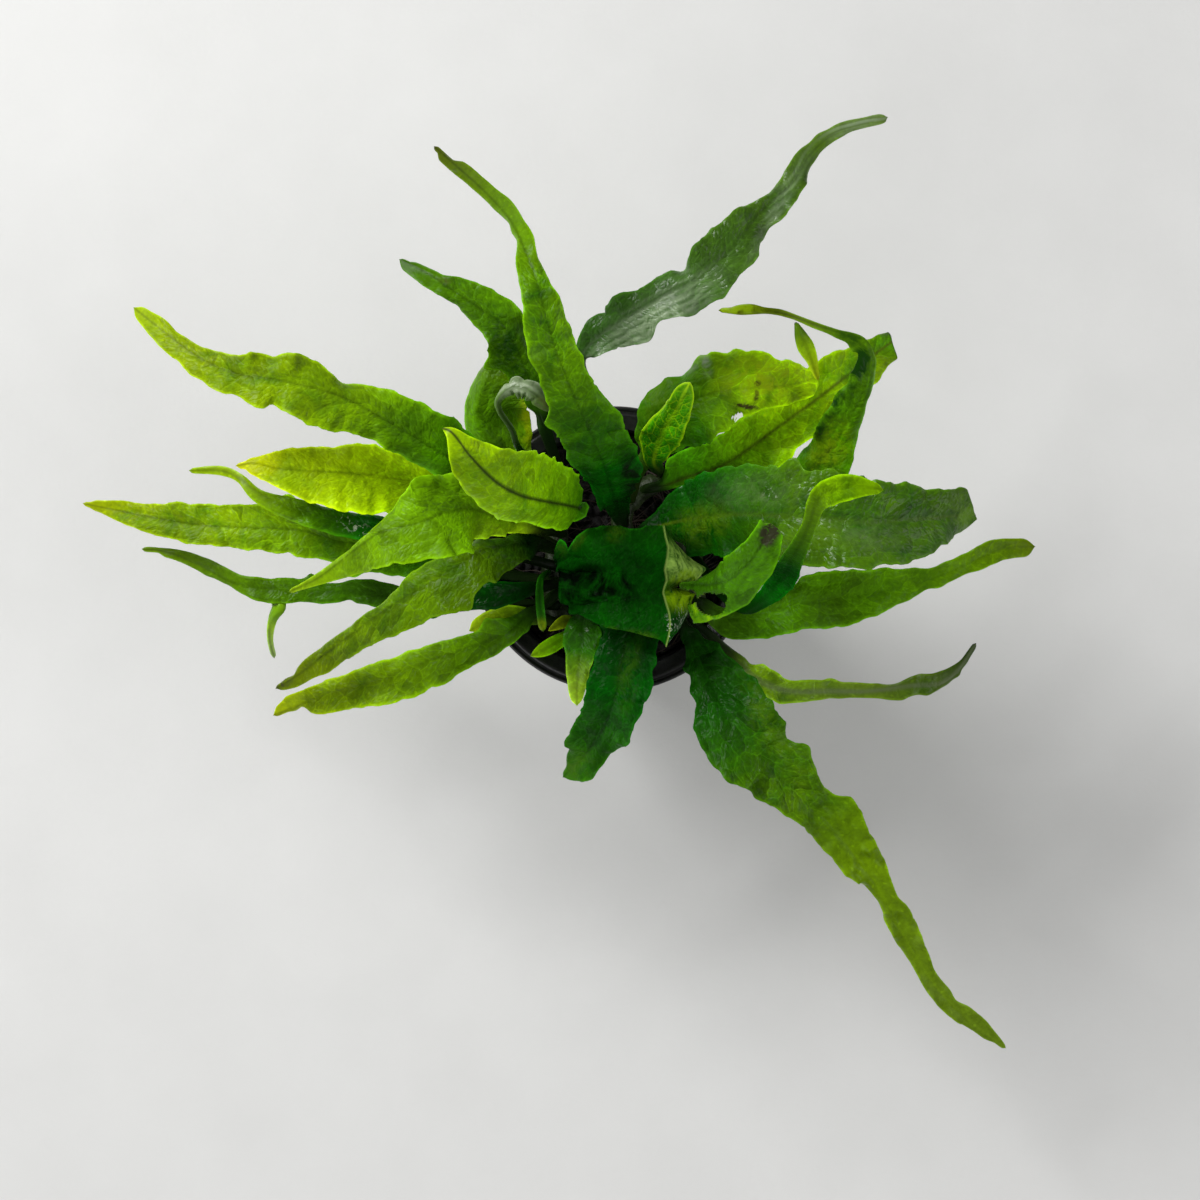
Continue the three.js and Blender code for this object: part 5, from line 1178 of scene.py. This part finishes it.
def leafMaterial(leaf):
    look = {**tones, **grains, **families[leaf["slot"]], **leaf}
    g = Graph(leaf["node"] + "_look")
    starts = (0, look["greenFrom"], look["midFrom"], look["tipFrom"])
    stops = tuple(zip(starts, (look["foot"], look["low"], look["mid"], look["tip"])))
    colour = g.stops(g.value("along"), stops)
    cloud, fine, speckle = g.noise(*look["cloud"]), g.noise(*look["fine"]), g.noise(*look["speckle"])
    blade, rib, edge = g.value("blade"), g.value("rib"), g.value("edge")

    # Cells of the vein net: their places stray a little, so that no two are alike
    stray = g.vector("SUBTRACT", g.noise(*look["strayGrain"], output="Color"), noiseMiddle)
    place = g.vector("ADD", g.value("cellPlace", "Vector"), g.scaled(stray, look["stray"]))
    wide, narrow = g.cells(place, 1.0), g.cells(place, look["narrowCells"])
    line = g.math("MAXIMUM", g.span(wide, *look["wideLine"]), g.span(narrow, *look["narrowLine"]))
    veins = g.times(line, blade)
    patch = g.times(g.cells(place, 1.0, "F1", "Color"), blade)
    dots = g.cells(place, 1.0, "F1")

    colour = g.mix(g.times(g.span(cloud, *look["cloudSpan"]), blade), colour, look["deep"])
    colour = g.scaled(colour, g.times(
        g.span(fine, *look["fineSpan"]),
        g.span(speckle, *look["speckleSpan"]),
        g.span(patch, look["patchFrom"], 1, *look["patchTone"]),
        g.span(dots, *look["dotSpan"], look["dotTone"], 1),
        g.span(veins, 0, 1, 1, look["veinTone"]),
        g.span(rib, 0, 1, 1, look["ribTone"]),
        # edgeTone lightens the margin: a painted rim highlight over the leaf's paler margin
        g.span(edge, 0, 1, 1, look["edgeTone"]),
    ))
    if "rib" in look:
        inked = rib
        if "inked" in look:
            inked = g.math("MAXIMUM", g.math("MAXIMUM", rib, edge), g.times(veins, look["inkedLines"]))
        colour = g.mix(g.times(inked, look["ribShow"]), colour, look["rib"])
    colour = g.mix(g.value("stalk"), colour, look["stalkColour"])
    # Patches laid into the colour: painted sheen (grey), painted highlights (glint) and painted shade
    # (shade), and bright and brown patches that are partly the leaf's own colour and partly painted light
    for kind, patchLook in patchKinds.items():
        if kind not in leaf:
            continue
        grain = g.span(g.noise(patchLook["grain"], *look["patchDetail"]), *patchLook["clear"])
        # on streaked leaves the painted sheen runs in lengthwise streaks
        if "streaks" in leaf and kind == "grey":
            streak = g.span(g.value("streak"), *look["streakSpan"])
            grain = g.times(streak, g.span(grain, 0, 1, *look["streakGrain"]))
        patchColour = look.get(kind + "Colour", patchLook["colour"])
        colour = g.mix(g.times(g.value(kind), grain), colour, patchColour)
    colour = g.mix(g.times(g.value("under"), look["underShare"]), colour, look["underColour"])

    smoothest, roughest = look["rough"] - look["smoother"], look["rough"] + look["rougher"]
    roughness = g.span(cloud, *cloudRange, smoothest, roughest)
    quilt = g.times(g.span(wide, *look["quiltSpan"]), blade, look["quilt"] * look["relief"])
    smallQuilt = g.times(g.span(narrow, *look["quiltSpan"]), blade, look["smallQuilt"])
    height = g.math("ADD", g.math("ADD", quilt, smallQuilt), g.times(fine, look["fineRelief"]))
    constants = {"IOR": look["ior"], "Specular IOR Level": look["shine"] * look["gloss"]}
    return g.surface(colour, roughness, g.bump(height, look["reliefHeight"]), constants, look["glow"])


for number, leaf in enumerate(leaves):
    top, under, keep, values = bladeSheets(leaf, shape["seed"] + number * shape["seedStep"])
    points, quads, used = shell(top, under, keep)
    both = {key: np.concatenate([value, value]) for key, value in values.items()}
    values = {key: value.reshape(-1, *value.shape[2:])[used] for key, value in both.items()}
    values["under"] = (used >= top.shape[0] * top.shape[1]).astype(float)
    material = leafMaterial(leaf)
    meshPiece(leaf["node"] + "_blade", points, quads, material, leaf["node"], values)
print("leaves built")


# Floor, light and camera
stage = dict(
    size=9, floor=(0.52, 0.52, 0.51), paler=(0.58, 0.58, 0.57), cloud=(40, 3), roughness=(0.8, 0.9),
    grain=(900, 3), grainHeight=0.00005, ior=1.4,
)
bpy.ops.mesh.primitive_plane_add(size=stage["size"])
floor = bpy.context.object
floor.name = "floor"
g = Graph("floorPaper")
tone = g.noise(*stage["cloud"])
floor.data.materials.append(g.surface(
    g.mix(tone, stage["floor"], stage["paler"]),
    g.span(tone, 0, 1, *stage["roughness"]),
    g.bump(g.noise(*stage["grain"]), stage["grainHeight"]),
    {"IOR": stage["ior"]},
))

lamps = dict(
    high=dict(place=(-0.5, 0.45, 0.6), size=0.35, power=9.5),
    side=dict(place=(0.75, -0.1, 0.55), size=0.6, power=3.4),
    low=dict(place=(-0.5, -0.65, 0.45), size=0.6, power=2.6),
)
aim = Vector((0, 0, 0.06))
for name, lamp in lamps.items():
    light = bpy.data.lights.new(name, "AREA")
    light.shape = "SQUARE"
    light.size = lamp["size"]
    light.energy = lamp["power"]
    holder = bpy.data.objects.new(name, light)
    holder.location = lamp["place"]
    holder.rotation_euler = (aim - holder.location).to_track_quat("-Z", "Y").to_euler()
    bpy.context.scene.collection.objects.link(holder)

room = dict(colour=(1, 1, 1, 1), strength=0.3)
world = bpy.data.worlds.new("softRoom")
world.use_nodes = True
world.node_tree.nodes["Background"].inputs["Color"].default_value = room["colour"]
world.node_tree.nodes["Background"].inputs["Strength"].default_value = room["strength"]
bpy.context.scene.world = world
bpy.context.scene.view_settings.view_transform = "Standard"

view = dict(height=0.65, sensor=36, frame=0.22368)  # frame: width of the picture at the height of the rim
lens = bpy.data.cameras.new("fromAbove")
lens.sensor_width = view["sensor"]
lens.lens = view["sensor"] * (view["height"] - potHeight / metre) / view["frame"]
camera = bpy.data.objects.new("fromAbove", lens)
camera.location = (viewCentre[0] / metre, viewCentre[1] / metre, view["height"])
bpy.context.scene.collection.objects.link(camera)
bpy.context.scene.camera = camera

print("stage, light and camera set")
